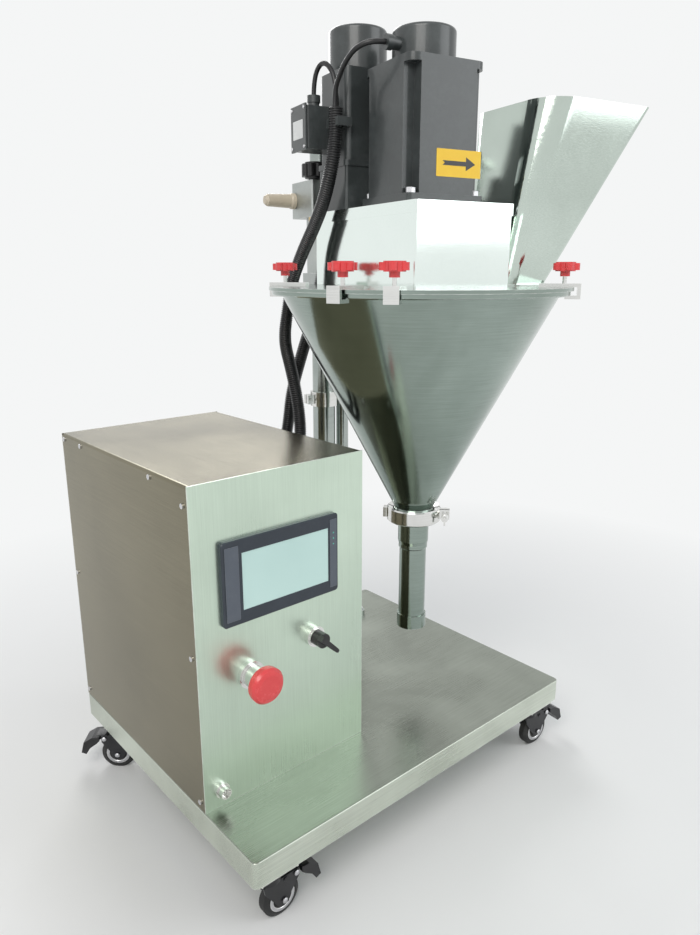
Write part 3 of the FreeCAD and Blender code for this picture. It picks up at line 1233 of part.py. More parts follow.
def main():
    shapes = {
        "base_tray": base_tray(),
        "base_rails": base_rails(),
        "caster_plates": group(caster_plates()),
        "cabinet_cover": cabinet_cover(),
        "cabinet_front_panel": cabinet_front_panel(),
        "cabinet_back_panel": cabinet_back_panel(),
        "base_fasteners": base_fasteners(),
        "cabinet_electrics": mounting_plate(),
        "conduit_glands": conduit_glands(),
        "hmi_housing": hmi_housing(),
        "hmi_screen": hmi_screen(),
        "panel_fittings": panel_fittings(),
        "estop_button": estop_button(),
        "selector_knob": selector_knob(),
        "column_foot": column_foot(),
        "main_post": main_post(),
        "guide_rod": guide_rod(),
        "lift_rack": lift_rack(),
        "stop_collar": stop_collar(),
        "column_cap": column_cap(),
        "lift_carriage": lift_carriage(),
        "lift_handle": lift_handle(),
        "lock_knob": lock_knob(),
        "hopper_cone": hopper_cone(),
        "dosing_tube": dosing_tube(),
        "tri_clamp": tri_clamp(),
        "clamp_wing_nut": clamp_wing_nut(),
        "lid_plate": lid_plate(),
        "lid_clamps": lid_clamps(),
        "drive_box": drive_box(),
        "drive_box_cover": drive_box_cover(),
        "auger_motor": auger_motor(),
        "stirrer_motor": stirrer_motor(),
        "terminal_box": terminal_box(),
        "feed_chute": feed_chute(),
        "bearing_housing": bearing_housing(),
        "auger_screw": auger_screw(),
        "agitator": agitator(),
        "stirrer_pulley": stirrer_pulley(),
        "drive_belt": drive_belt(),
    }
    for index, angle in enumerate(CLAMP_ANGLES):
        shapes["lid_knob_%d" % (index + 1)] = clamp_knob(angle)
    corner_names = ("front_left", "front_right", "back_left", "back_right")
    for index, corner in enumerate(corner_names):
        shapes[corner + "_fork"] = place_caster(caster_fork(), index)
        shapes[corner + "_wheel"] = place_caster(caster_wheel(), index)
        shapes[corner + "_brake"] = place_caster(caster_brake(), index)
    hard = Part.makeCompound(list(shapes.values()))
    hoses = {"auger_hose": (auger_hose_route(), CONDUIT_R), "stirrer_hose": (stirrer_hose_route(), CONDUIT_R)}
    for name, (route, radius) in hoses.items():
        solid, radii, length = hose(route, radius)
        print(name, "length", round(length, 1), "radii", radii,
              "volume ratio", round(solid.Volume / (length * math.pi * radius ** 2), 4))
        shapes[name] = solid
    leads = []
    for route in lead_routes():
        solid, radii, length = hose(route, LEAD_R)
        print("lead length", round(length, 1), "radii", radii,
              "volume ratio", round(solid.Volume / (length * math.pi * LEAD_R ** 2), 4))
        leads.append(solid)
    shapes["motor_leads"] = group(leads)
    extent = hard.optimalBoundingBox(False)
    shift = V(-(extent.XMin + extent.XMax) / 2, -(extent.YMin + extent.YMax) / 2, 0)
    print("extent", extent, "shift", shift)
    os.makedirs("parts", exist_ok=True)
    for name, shape in shapes.items():
        moved = shape.copy()
        moved.translate(shift)
        if not moved.isValid():
            print("not valid:", name)
        moved.exportStep("parts/" + name + ".step")


main()
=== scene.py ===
"""Auger powder filler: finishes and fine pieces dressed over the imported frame."""
import json
import math

import bpy
import bmesh
from mathutils import Matrix, Vector

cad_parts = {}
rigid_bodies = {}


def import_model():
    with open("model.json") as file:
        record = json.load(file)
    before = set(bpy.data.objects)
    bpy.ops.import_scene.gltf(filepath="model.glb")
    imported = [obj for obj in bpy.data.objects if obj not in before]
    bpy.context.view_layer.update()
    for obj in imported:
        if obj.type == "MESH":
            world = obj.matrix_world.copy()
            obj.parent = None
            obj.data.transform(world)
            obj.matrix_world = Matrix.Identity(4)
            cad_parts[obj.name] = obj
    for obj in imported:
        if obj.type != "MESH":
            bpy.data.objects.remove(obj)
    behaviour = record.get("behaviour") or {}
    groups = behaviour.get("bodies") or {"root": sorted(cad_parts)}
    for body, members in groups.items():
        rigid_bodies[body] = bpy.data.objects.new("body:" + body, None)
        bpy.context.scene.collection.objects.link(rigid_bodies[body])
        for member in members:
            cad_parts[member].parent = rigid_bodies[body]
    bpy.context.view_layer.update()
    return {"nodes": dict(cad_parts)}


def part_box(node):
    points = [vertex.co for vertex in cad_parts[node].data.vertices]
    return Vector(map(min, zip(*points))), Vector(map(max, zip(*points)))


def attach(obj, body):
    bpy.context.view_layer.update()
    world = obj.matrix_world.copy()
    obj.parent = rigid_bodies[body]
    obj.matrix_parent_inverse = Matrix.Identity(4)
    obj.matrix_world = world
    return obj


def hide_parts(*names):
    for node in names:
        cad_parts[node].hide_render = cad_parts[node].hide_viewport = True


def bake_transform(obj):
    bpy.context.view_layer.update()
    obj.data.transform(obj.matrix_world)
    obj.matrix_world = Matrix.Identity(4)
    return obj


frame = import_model()

MM = 0.001
# Middle of the footprint, from the tray's front left corner, in millimetres.
FOOTPRINT = (390.61933489804125, 230.87475938379657)
TRAY_TOP = 129.0
AUGER_AXIS = (441.5, 172.5)
HEAD_TURN = math.radians(-12.5)
NAMES = ("front_left", "front_right", "back_left", "back_right")
CASTER_PLACES = ((40.0, 32.0), (595.0, 32.0), (40.0, 444.0), (595.0, 444.0))
CASTER_TURNS = (0.0, -6.0, 140.0, 20.0)


def base_point(x, y, z):
    """A point laid out from the tray's front left corner, heights above the tray."""
    return Vector(((x - FOOTPRINT[0]) * MM, (y - FOOTPRINT[1]) * MM, (z + TRAY_TOP) * MM))


def head_point(x, y, z):
    """A point laid out from the auger's axis in the turned head."""
    c, s = math.cos(HEAD_TURN), math.sin(HEAD_TURN)
    return base_point(AUGER_AXIS[0] + c * x - s * y, AUGER_AXIS[1] + s * x + c * y, z)


HEAD = Matrix.Translation(head_point(0, 0, 0)) @ Matrix.Rotation(HEAD_TURN, 4, "Z")
BASE = Matrix.Translation(base_point(0, 0, 0))


# ---- node tree helpers ------------------------------------------------------
def put(tree, kind, links=None, **settings):
    """Adds a node; links maps an input's name or number to a socket or a value."""
    made = tree.nodes.new(kind)
    for key, value in settings.items():
        setattr(made, key, value)
    for key, value in (links or {}).items():
        socket = made.inputs[key]
        if isinstance(value, bpy.types.NodeSocket):
            tree.links.new(value, socket)
        else:
            socket.default_value = value
    return made


def maths(tree, operation, a, b=0.0, clamp=False):
    return put(tree, "ShaderNodeMath", {0: a, 1: b}, operation=operation, use_clamp=clamp).outputs[0]


def mixed(tree, factor, a, b, blend="MIX"):
    made = put(tree, "ShaderNodeMix", {"Factor": factor, 6: a, 7: b}, data_type="RGBA", blend_type=blend)
    return made.outputs[2]


def ramp(tree, value, low, high, out_low, out_high):
    made = put(tree, "ShaderNodeMapRange", {"Value": value, "From Min": low, "From Max": high,
                                            "To Min": out_low, "To Max": out_high})
    return made.outputs["Result"]


def new_group(name, inputs, outputs):
    tree = bpy.data.node_groups.new(name, "ShaderNodeTree")
    for label, kind, value in inputs:
        socket = tree.interface.new_socket(label, in_out="INPUT", socket_type=kind)
        socket.default_value = value
    for label, kind in outputs:
        tree.interface.new_socket(label, in_out="OUTPUT", socket_type=kind)
    return tree, tree.nodes.new("NodeGroupInput"), tree.nodes.new("NodeGroupOutput")


def edge_group():
    """Mask that is 1 on worn outside and inside corners and 0 on open faces."""
    tree, come, go = new_group("worn_edges", [("Width", "NodeSocketFloat", 0.001),
                                              ("Vector", "NodeSocketVector", (0, 0, 0))],
                               [("Mask", "NodeSocketFloat")])
    round_off = put(tree, "ShaderNodeBevel", {"Radius": come.outputs["Width"]}, samples=4)
    geometry = put(tree, "ShaderNodeNewGeometry")
    dot = put(tree, "ShaderNodeVectorMath", {0: round_off.outputs[0], 1: geometry.outputs["Normal"]},
              operation="DOT_PRODUCT")
    turn = ramp(tree, dot.outputs["Value"], 0.995, 0.80, 0.0, 1.0)
    patch = put(tree, "ShaderNodeTexNoise", {"Vector": come.outputs["Vector"], "Scale": 90.0, "Detail": 3.0})
    tree.links.new(maths(tree, "MULTIPLY", turn, ramp(tree, patch.outputs[0], 0.35, 0.6, 0.25, 1.0)),
                   go.inputs["Mask"])
    return tree


def brushed_group():
    """Fine drawn lines along one direction with slow cloudy smears over them."""
    tree, come, go = new_group("drawn_grain", [("Vector", "NodeSocketVector", (0, 0, 0)),
                                               ("Lines", "NodeSocketVector", (900.0, 900.0, 12.0)),
                                               ("Smear", "NodeSocketFloat", 6.0)],
                               [("Grain", "NodeSocketFloat"), ("Cloud", "NodeSocketFloat")])
    stretched = put(tree, "ShaderNodeVectorMath", {0: come.outputs["Vector"], 1: come.outputs["Lines"]},
                    operation="MULTIPLY")
    fine = put(tree, "ShaderNodeTexNoise", {"Vector": stretched.outputs[0], "Scale": 1.0, "Detail": 4.0,
                                            "Roughness": 0.65})
    slow = put(tree, "ShaderNodeTexNoise", {"Vector": come.outputs["Vector"], "Scale": come.outputs["Smear"],
                                            "Detail": 5.0, "Roughness": 0.55, "Distortion": 0.4})
    tree.links.new(ramp(tree, fine.outputs[0], 0.25, 0.75, 0.0, 1.0), go.inputs["Grain"])
    tree.links.new(ramp(tree, slow.outputs[0], 0.3, 0.7, 0.0, 1.0), go.inputs["Cloud"])
    return tree


def speck_group():
    """Moulded or painted skin: fine orange peel, faint dust and colour drift."""
    tree, come, go = new_group("moulded_skin", [("Vector", "NodeSocketVector", (0, 0, 0)),
                                                ("Grit", "NodeSocketFloat", 900.0)],
                               [("Peel", "NodeSocketFloat"), ("Dust", "NodeSocketFloat")])
    peel = put(tree, "ShaderNodeTexNoise", {"Vector": come.outputs["Vector"], "Scale": come.outputs["Grit"],
                                            "Detail": 2.0})
    dust = put(tree, "ShaderNodeTexNoise", {"Vector": come.outputs["Vector"], "Scale": 22.0, "Detail": 6.0,
                                            "Roughness": 0.7})
    tree.links.new(peel.outputs[0], go.inputs["Peel"])
    tree.links.new(ramp(tree, dust.outputs[0], 0.45, 0.8, 0.0, 1.0), go.inputs["Dust"])
    return tree


WORN_EDGES = edge_group()
DRAWN_GRAIN = brushed_group()
MOULDED_SKIN = speck_group()


def start_material(name):
    material = bpy.data.materials.new(name)
    material.use_nodes = True
    tree = material.node_tree
    surface = tree.nodes["Principled BSDF"]
    coordinates = tree.nodes.new("ShaderNodeTexCoord")
    return material, tree, surface, coordinates.outputs["Object"]


def place_group(tree, group, links):
    made = tree.nodes.new("ShaderNodeGroup")
    made.node_tree = group
    for key, value in links.items():
        if isinstance(value, bpy.types.NodeSocket):
            tree.links.new(value, made.inputs[key])
        else:
            made.inputs[key].default_value = value
    return made.outputs


def bump(tree, surface, height, strength, distance):
    made = put(tree, "ShaderNodeBump", {"Height": height, "Strength": strength, "Distance": distance})
    tree.links.new(made.outputs[0], surface.inputs["Normal"])


def steel(name, dark, light, rough, lines=(900.0, 900.0, 12.0), smear=6.0, relief=0.08, spread=0.10,
          edge=0.0012, shine=0.9, swirl=0.0):
    """Stainless sheet or turned steel: grain along one way, smears, bright worn edges."""
    material, tree, surface, place = start_material(name)
    grain = place_group(tree, DRAWN_GRAIN, {"Vector": place, "Lines": lines, "Smear": smear})
    worn = place_group(tree, WORN_EDGES, {"Width": edge, "Vector": place})
    tone = maths(tree, "ADD", maths(tree, "MULTIPLY", grain["Grain"], 0.45),
                 maths(tree, "MULTIPLY", grain["Cloud"], 0.55))
    colour = mixed(tree, tone, (*dark, 1), (*light, 1))
    colour = mixed(tree, worn["Mask"], colour, (shine, shine, shine * 0.98, 1))
    tree.links.new(colour, surface.inputs["Base Color"])
    rubbed = maths(tree, "ADD", maths(tree, "MULTIPLY", grain["Cloud"], spread),
                   maths(tree, "MULTIPLY", grain["Grain"], spread * 0.6))
    tree.links.new(maths(tree, "ADD", rubbed, rough), surface.inputs["Roughness"])
    surface.inputs["Metallic"].default_value = 1.0
    bump(tree, surface, grain["Grain"], relief, 0.0004)
    return material


def plastic(name, colour, drift, rough, grit=900.0, relief=0.1, coat=0.0, edge=0.0008, rub=(0.4, 0.4, 0.4),
            rub_amount=0.35, metal=0.0):
    """Moulded or painted piece with orange peel, dust and lighter rubbed edges."""
    material, tree, surface, place = start_material(name)
    skin = place_group(tree, MOULDED_SKIN, {"Vector": place, "Grit": grit})
    worn = place_group(tree, WORN_EDGES, {"Width": edge, "Vector": place})
    tone = mixed(tree, skin["Dust"], (*colour, 1), (*drift, 1))
    rubbed = maths(tree, "MULTIPLY", worn["Mask"], rub_amount)
    tree.links.new(mixed(tree, rubbed, tone, (*rub, 1)), surface.inputs["Base Color"])
    tree.links.new(maths(tree, "ADD", maths(tree, "MULTIPLY", skin["Dust"], 0.12), rough),
                   surface.inputs["Roughness"])
    surface.inputs["Metallic"].default_value = metal
    surface.inputs["Coat Weight"].default_value = coat
    surface.inputs["Coat Roughness"].default_value = 0.08
    bump(tree, surface, skin["Peel"], relief, 0.0003)
    return material


ALONG_X = (10.0, 900.0, 900.0)
ALONG_Y = (900.0, 10.0, 900.0)
ALONG_Z = (900.0, 900.0, 10.0)
ROUND_Z = (14.0, 14.0, 1100.0)

tray_steel = steel("tray_brushed_steel", (0.18, 0.195, 0.165), (0.36, 0.385, 0.34), 0.20, ALONG_X, 5.0)
cover_steel = steel("cover_brushed_steel", (0.155, 0.14, 0.095), (0.265, 0.24, 0.165), 0.12, ALONG_Y, 3.5)
panel_steel = steel("front_panel_steel", (0.50, 0.60, 0.50), (0.68, 0.80, 0.68), 0.24, ALONG_Z, 4.0)
cone_steel = steel("spun_cone_steel", (0.20, 0.245, 0.215), (0.38, 0.45, 0.41), 0.09, ROUND_Z, 5.0, 0.05, 0.05)
box_steel = steel("drive_box_steel", (0.78, 0.86, 0.82), (0.90, 0.97, 0.93), 0.05, ALONG_X, 4.0, 0.03, 0.03)
bright_steel = steel("bright_steel", (0.62, 0.62, 0.60), (0.84, 0.84, 0.82), 0.10, ROUND_Z, 9.0, 0.05, 0.06)
chute_steel = steel("chute_sheet_steel", (0.44, 0.50, 0.45), (0.66, 0.74, 0.68), 0.06, ALONG_X, 4.0, 0.04, 0.04)
turned_steel = steel("turned_post_steel", (0.27, 0.30, 0.28), (0.47, 0.51, 0.49), 0.12, ROUND_Z, 12.0, 0.05, 0.06)
zinc = steel("zinc_plate", (0.48, 0.48, 0.50), (0.70, 0.70, 0.72), 0.26, (300.0, 300.0, 300.0), 40.0, 0.15)
cast_aluminium = steel("cast_aluminium", (0.36, 0.38, 0.37), (0.52, 0.55, 0.53), 0.34, (500.0,) * 3, 30.0, 0.25)
brass = steel("brass_nut", (0.46, 0.33, 0.14), (0.68, 0.52, 0.26), 0.24, ROUND_Z, 30.0, 0.1)

motor_paint = plastic("motor_paint", (0.040, 0.046, 0.046), (0.075, 0.085, 0.085), 0.28, 700.0, 0.18, 0.25,
                      rub=(0.22, 0.22, 0.23))
black_plastic = plastic("black_plastic", (0.012, 0.012, 0.013), (0.035, 0.035, 0.036), 0.30, 900.0, 0.10,
                        rub=(0.12, 0.12, 0.12))
fork_paint = plastic("caster_fork_paint", (0.010, 0.010, 0.012), (0.03, 0.03, 0.033), 0.28, 600.0, 0.15,
                     rub=(0.16, 0.16, 0.17))
tyre_rubber = plastic("tyre_rubber", (0.012, 0.012, 0.012), (0.05, 0.048, 0.045), 0.55, 1200.0, 0.3,
                      rub=(0.08, 0.08, 0.078))
hose_rubber = plastic("hose_plastic", (0.010, 0.010, 0.011), (0.03, 0.03, 0.031), 0.34, 1500.0, 0.08,
                      rub=(0.09, 0.09, 0.09), edge=0.0003)
slate_plastic = plastic("slate_bezel", (0.022, 0.030, 0.042), (0.035, 0.045, 0.06), 0.32, 1400.0, 0.12,
                        rub=(0.15, 0.17, 0.2))
bar_plastic = plastic("bezel_side_bar", (0.085, 0.10, 0.125), (0.11, 0.125, 0.15), 0.4, 1400.0, 0.12)
red_plastic = plastic("red_plastic", (0.72, 0.045, 0.05), (0.80, 0.09, 0.09), 0.24, 800.0, 0.08, 0.35,
                      rub=(0.8, 0.25, 0.22), rub_amount=0.45)
tan_plastic = plastic("tan_grip", (0.62, 0.54, 0.42), (0.70, 0.62, 0.50), 0.42, 500.0, 0.12,
                      rub=(0.8, 0.74, 0.64))
yellow_film = plastic("yellow_plate", (0.80, 0.50, 0.020), (0.86, 0.58, 0.04), 0.38, 900.0, 0.05,
                      rub=(0.9, 0.75, 0.3))
white_film = plastic("blank_plate", (0.74, 0.75, 0.74), (0.80, 0.81, 0.80), 0.35, 900.0, 0.04,
                     rub=(0.9, 0.9, 0.9))
electric_grey = plastic("board_grey", (0.30, 0.31, 0.31), (0.42, 0.42, 0.42), 0.45)
lamp_green = plastic("lamp_lens", (0.10, 0.42, 0.34), (0.14, 0.5, 0.4), 0.2, coat=0.5)


def screen_material():
    """Pale resting picture under glass: soft fields, no lettering."""
    material, tree, surface, place = start_material("screen_glass")
    cloud = put(tree, "ShaderNodeTexNoise", {"Vector": place, "Scale": 7.0, "Detail": 2.0})
    colour = mixed(tree, cloud.outputs[0], (0.34, 0.50, 0.47, 1), (0.52, 0.70, 0.66, 1))
    tree.links.new(colour, surface.inputs["Base Color"])
    tree.links.new(colour, surface.inputs["Emission Color"])
    surface.inputs["Emission Strength"].default_value = 0.18
    tree.links.new(maths(tree, "ADD", maths(tree, "MULTIPLY", cloud.outputs[0], 0.05), 0.16),
                   surface.inputs["Roughness"])
    surface.inputs["Coat Weight"].default_value = 0.4
    return material


screen_glass = screen_material()

def paint_skirt_floor_light(material, top_z, painted_light_gain):
    """Painted light: the folded edges below the top are made brighter, a painted reflection of the bright floor on
    the skirt.
    """
    tree = material.node_tree
    surface = tree.nodes["Principled BSDF"]
    worn_colour = surface.inputs["Base Color"].links[0].from_socket
    place = next(n for n in tree.nodes if n.bl_idname == "ShaderNodeTexCoord").outputs["Object"]
    parts = put(tree, "ShaderNodeSeparateXYZ", {"Vector": place})
    lit_skirt_mask = ramp(tree, parts.outputs["Z"], top_z - 0.0012, top_z - 0.0004, 1.0, 0.0)
    floor_lit_colour = mixed(tree, 1.0, worn_colour, (painted_light_gain, painted_light_gain, painted_light_gain, 1), "MULTIPLY")
    tree.links.new(mixed(tree, lit_skirt_mask, worn_colour, floor_lit_colour), surface.inputs["Base Color"])


# painted light: the tray's skirt is brightened 2.2 times to stand for the floor's reflected light
paint_skirt_floor_light(tray_steel, TRAY_TOP * MM, 2.2)

FINISH = {
    tray_steel: ["base_tray", "base_rails"],
    cover_steel: ["cabinet_cover", "cabinet_back_panel"],
    panel_steel: ["cabinet_front_panel"],
    zinc: ["caster_plates", "base_fasteners"],
    electric_grey: ["cabinet_electrics"],
    black_plastic: ["conduit_glands", "selector_knob", "lock_knob"],
    slate_plastic: ["hmi_housing"],
    screen_glass: ["hmi_screen"],
    bright_steel: ["panel_fittings", "lid_clamps", "tri_clamp", "clamp_wing_nut", "auger_screw", "agitator",
                   "stop_collar"],
    turned_steel: ["main_post", "guide_rod", "lift_rack", "column_cap", "column_foot"],
    cast_aluminium: ["lift_carriage", "bearing_housing", "stirrer_pulley"],
    cone_steel: ["hopper_cone", "dosing_tube", "lid_plate"],
    box_steel: ["drive_box", "drive_box_cover"],
    chute_steel: ["feed_chute"],
    motor_paint: ["auger_motor", "stirrer_motor", "terminal_box"],
    hose_rubber: ["drive_belt"],
    red_plastic: ["estop_button"] + ["lid_knob_%d" % k for k in range(1, 6)],
    tan_plastic: ["lift_handle"],
    fork_paint: [n + "_fork" for n in NAMES] + [n + "_brake" for n in NAMES],
    tyre_rubber: [n + "_wheel" for n in NAMES],
}


def dress(node, material):
    piece = frame["nodes"][node]
    if not piece.data.materials:
        piece.data.materials.append(material)
    for holder in piece.material_slots:
        holder.material = material


for material, nodes in FINISH.items():
    for node in nodes:
        dress(node, material)


# ---- mesh helpers -----------------------------------------------------------
def finish_piece(name, mesh, material, body, smooth_angle=35.0):
    """Gives a mesh its object, finish and body."""
    piece = bpy.data.objects.new(name, mesh)
    bpy.context.scene.collection.objects.link(piece)
    mesh.materials.clear()
    mesh.materials.append(material)
    for face in mesh.polygons:
        face.material_index = 0
        face.use_smooth = True
    mesh.set_sharp_from_angle(angle=math.radians(smooth_angle))
    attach(piece, body)
    return piece


def mesh_from(name, build, place=None):
    """Runs a bmesh builder, turns the faces outward and puts the mesh in its place."""
    work = bmesh.new()
    build(work)
    bmesh.ops.remove_doubles(work, verts=work.verts, dist=1e-6)
    bmesh.ops.recalc_face_normals(work, faces=work.faces)
    if place is not None:
        work.transform(place)
    mesh = bpy.data.meshes.new(name)
    work.to_mesh(mesh)
    work.free()
    return mesh


def lathe(work, profile, sides, place=None):
    """Turns (radius, height) pairs in millimetres round the z axis."""
    rings = []
    for radius, height in profile:
        if radius < 1e-6:
            rings.append([work.verts.new((0, 0, height * MM))])
            continue
        ring = []
        for i in range(sides):
            a = 2 * math.pi * i / sides
            ring.append(work.verts.new((radius * MM * math.cos(a), radius * MM * math.sin(a), height * MM)))
        rings.append(ring)
    for low, high in zip(rings, rings[1:]):
        for i in range(sides):
            j = (i + 1) % sides
            if len(low) == 1:
                work.faces.new((low[0], high[i], high[j]))
            elif len(high) == 1:
                work.faces.new((low[i], low[j], high[0]))
            else:
                work.faces.new((low[i], low[j], high[j], high[i]))
    if place is not None:
        bmesh.ops.transform(work, matrix=place, verts=[v for ring in rings for v in ring])


def plate(work, corners, thickness, round_by=0.0, segments=4):
    """Flat plate with the outline given in x, y, standing up by its thickness, in millimetres."""
    outline = rounded_outline(corners, round_by, segments) if round_by else corners
    low = [work.verts.new((x * MM, y * MM, 0)) for x, y in outline]
    high = [work.verts.new((x * MM, y * MM, thickness * MM)) for x, y in outline]
    work.faces.new(low[::-1])
    work.faces.new(high)
    count = len(outline)
    for i in range(count):
        j = (i + 1) % count
        work.faces.new((low[i], low[j], high[j], high[i]))


def rounded_outline(corners, radius, segments):
    outline = []
    count = len(corners)
    for i in range(count):
        here = Vector(corners[i])
        before = (Vector(corners[i - 1]) - here).normalized()
        after = (Vector(corners[(i + 1) % count]) - here).normalized()
        start = here + before * radius
        end = here + after * radius
        for k in range(segments + 1):
            t = k / segments
            point = start.lerp(here, t).lerp(here.lerp(end, t), t)
            outline.append((point.x, point.y))
    return outline


def rectangle(width, height):
    w, h = width / 2, height / 2
    return [(-w, -h), (w, -h), (w, h), (-w, h)]


def facing(origin, outward, up):
    """Matrix that lays local z along outward and local y along up, at a point in metres."""
    z = Vector(outward).normalized()
    y = Vector(up)
    y = (y - z * y.dot(z)).normalized()
    x = y.cross(z)
    turn = Matrix((x, y, z)).transposed().to_4x4()
    return Matrix.Translation(Vector(origin)) @ turn


# ---- repeated fasteners -----------------------------------------------------
def fastener_tree(name):
    """One small head set at every point, turned to the way that its point faces."""
    tree = bpy.data.node_groups.new(name, "GeometryNodeTree")
    for label, kind in (("Geometry", "NodeSocketGeometry"), ("Head", "NodeSocketObject"),
                        ("Size", "NodeSocketFloat"), ("Finish", "NodeSocketMaterial")):
        tree.interface.new_socket(label, in_out="INPUT", socket_type=kind)
    tree.interface.new_socket("Geometry", in_out="OUTPUT", socket_type="NodeSocketGeometry")
    come = tree.nodes.new("NodeGroupInput")
    go = tree.nodes.new("NodeGroupOutput")
    way = put(tree, "GeometryNodeInputNamedAttribute", {"Name": "facing"}, data_type="FLOAT_VECTOR")
    turn = put(tree, "FunctionNodeAlignRotationToVector", {"Vector": way.outputs[0]}, axis="Z")
    head = put(tree, "GeometryNodeObjectInfo", {"Object": come.outputs["Head"]})
    spread = put(tree, "GeometryNodeInstanceOnPoints",
                 {"Points": come.outputs["Geometry"], "Instance": head.outputs["Geometry"],
                  "Rotation": turn.outputs[0], "Scale": come.outputs["Size"]})
    whole = put(tree, "GeometryNodeRealizeInstances", {"Geometry": spread.outputs[0]})
    coloured = put(tree, "GeometryNodeSetMaterial", {"Geometry": whole.outputs[0],
                                                     "Material": come.outputs["Finish"]})
    tree.links.new(coloured.outputs[0], go.inputs[0])
    return tree


FASTENERS = fastener_tree("fasteners")


def head_template(name, profile, sides, socket=0.0, depth=0.0):
    """A small fastener head, with a six-sided socket where it has one."""
    def build(work):
        lathe(work, profile, sides)
        if socket:
            top = max(h for r, h in profile)
            lathe(work, [(socket, top), (socket, top - depth), (0, top - depth)], 6)
    mesh = mesh_from(name, build)
    piece = bpy.data.objects.new(name, mesh)
    bpy.context.scene.collection.objects.link(piece)
    return piece


def fasteners(name, template, places, material, body, size=1.0):
    """Sets a head at every (point, facing) pair and makes them one mesh."""
    mesh = bpy.data.meshes.new(name + "_points")
    mesh.from_pydata([p for p, way in places], [], [])
    ways = mesh.attributes.new("facing", "FLOAT_VECTOR", "POINT")
    for i, (p, way) in enumerate(places):
        ways.data[i].vector = way
    holder = bpy.data.objects.new(name + "_points", mesh)
    bpy.context.scene.collection.objects.link(holder)
    modifier = holder.modifiers.new("heads", "NODES")
    modifier.node_group = FASTENERS
    for item in FASTENERS.interface.items_tree:
        if item.item_type == "SOCKET" and item.in_out == "INPUT" and item.name != "Geometry":
            modifier[item.identifier] = {"Head": template, "Size": size, "Finish": material}[item.name]
    holder.update_tag()
    bpy.context.view_layer.update()
    seen = bpy.context.evaluated_depsgraph_get()
    solid = bpy.data.meshes.new_from_object(holder.evaluated_get(seen))
    solid.name = name
    bpy.data.objects.remove(holder)
    return finish_piece(name, solid, material, body)


socket_head = head_template("socket_head", [(0, 0), (4.2, 0), (4.2, 2.4), (3.8, 2.8), (2.4, 2.8)], 20, 2.1, 1.6)
hex_head = head_template("hex_head", [(0, 0), (7.6, 0), (7.6, 6.8), (6.9, 7.6), (0, 7.6)], 6)
pan_head = head_template("pan_head", [(0, 0), (2.6, 0), (2.6, 0.7), (2.1, 1.4), (1.2, 1.8), (0, 1.9)], 16)
rivet_head = head_template("rivet_head", [(0, 0), (3.4, 0), (3.3, 0.6), (2.6, 1.3), (1.4, 1.7), (0, 1.8)], 18)

# ---- corrugated hoses ---------------------------------------------------------
def rib_tree():
    """Turns a line into a ribbed hose with named sizes."""
    tree = bpy.data.node_groups.new("ribbed_hose", "GeometryNodeTree")
    for label, kind in (("Geometry", "NodeSocketGeometry"), ("Radius", "NodeSocketFloat"),
                        ("Rib pitch", "NodeSocketFloat"), ("Rib depth", "NodeSocketFloat"),
                        ("Sides", "NodeSocketInt"), ("Finish", "NodeSocketMaterial")):
        tree.interface.new_socket(label, in_out="INPUT", socket_type=kind)
    tree.interface.new_socket("Geometry", in_out="OUTPUT", socket_type="NodeSocketGeometry")
    come = tree.nodes.new("NodeGroupInput")
    go = tree.nodes.new("NodeGroupOutput")
    step = maths(tree, "DIVIDE", come.outputs["Rib pitch"], 6.0)
    line = put(tree, "GeometryNodeResampleCurve", {"Curve": come.outputs["Geometry"], "Length": step},
               mode="LENGTH")
    run = put(tree, "GeometryNodeSplineParameter")
    phase = maths(tree, "MULTIPLY", maths(tree, "DIVIDE", run.outputs["Length"], come.outputs["Rib pitch"]),
                  2 * math.pi)
    wave = maths(tree, "POWER", maths(tree, "ABSOLUTE", maths(tree, "COSINE", maths(tree, "MULTIPLY", phase, 0.5))),
                 3.0)
    radius = maths(tree, "SUBTRACT", come.outputs["Radius"],
                   maths(tree, "MULTIPLY", wave, come.outputs["Rib depth"]))
    ring = put(tree, "GeometryNodeCurvePrimitiveCircle", {"Resolution": come.outputs["Sides"], "Radius": 1.0})
    skin = put(tree, "GeometryNodeCurveToMesh", {"Curve": line.outputs[0], "Profile Curve": ring.outputs[0],
                                                 "Scale": radius, "Fill Caps": True})
    whole = put(tree, "GeometryNodeRealizeInstances", {"Geometry": skin.outputs[0]})
    coloured = put(tree, "GeometryNodeSetMaterial", {"Geometry": whole.outputs[0],
                                                     "Material": come.outputs["Finish"]})
    tree.links.new(coloured.outputs[0], go.inputs[0])
    return tree


RIBBED_HOSE = rib_tree()


def route_line(name, points):
    """Smooth line through a hose's bends, with its bends as control points."""
    curve = bpy.data.curves.new(name, "CURVE")
    curve.dimensions = "3D"
    spline = curve.splines.new("NURBS")
    spline.points.add(len(points) - 1)
    for slot, point in zip(spline.points, points):
        slot.co = (*point, 1.0)
    spline.order_u = 3
    spline.use_endpoint_u = True
    spline.resolution_u = 12
    piece = bpy.data.objects.new(name, curve)
    bpy.context.scene.collection.objects.link(piece)
    return piece


def followed(line):
    """The points of a route's smooth line."""
    mesh = bpy.data.meshes.new_from_object(line)
    return [v.co.copy() for v in mesh.vertices]


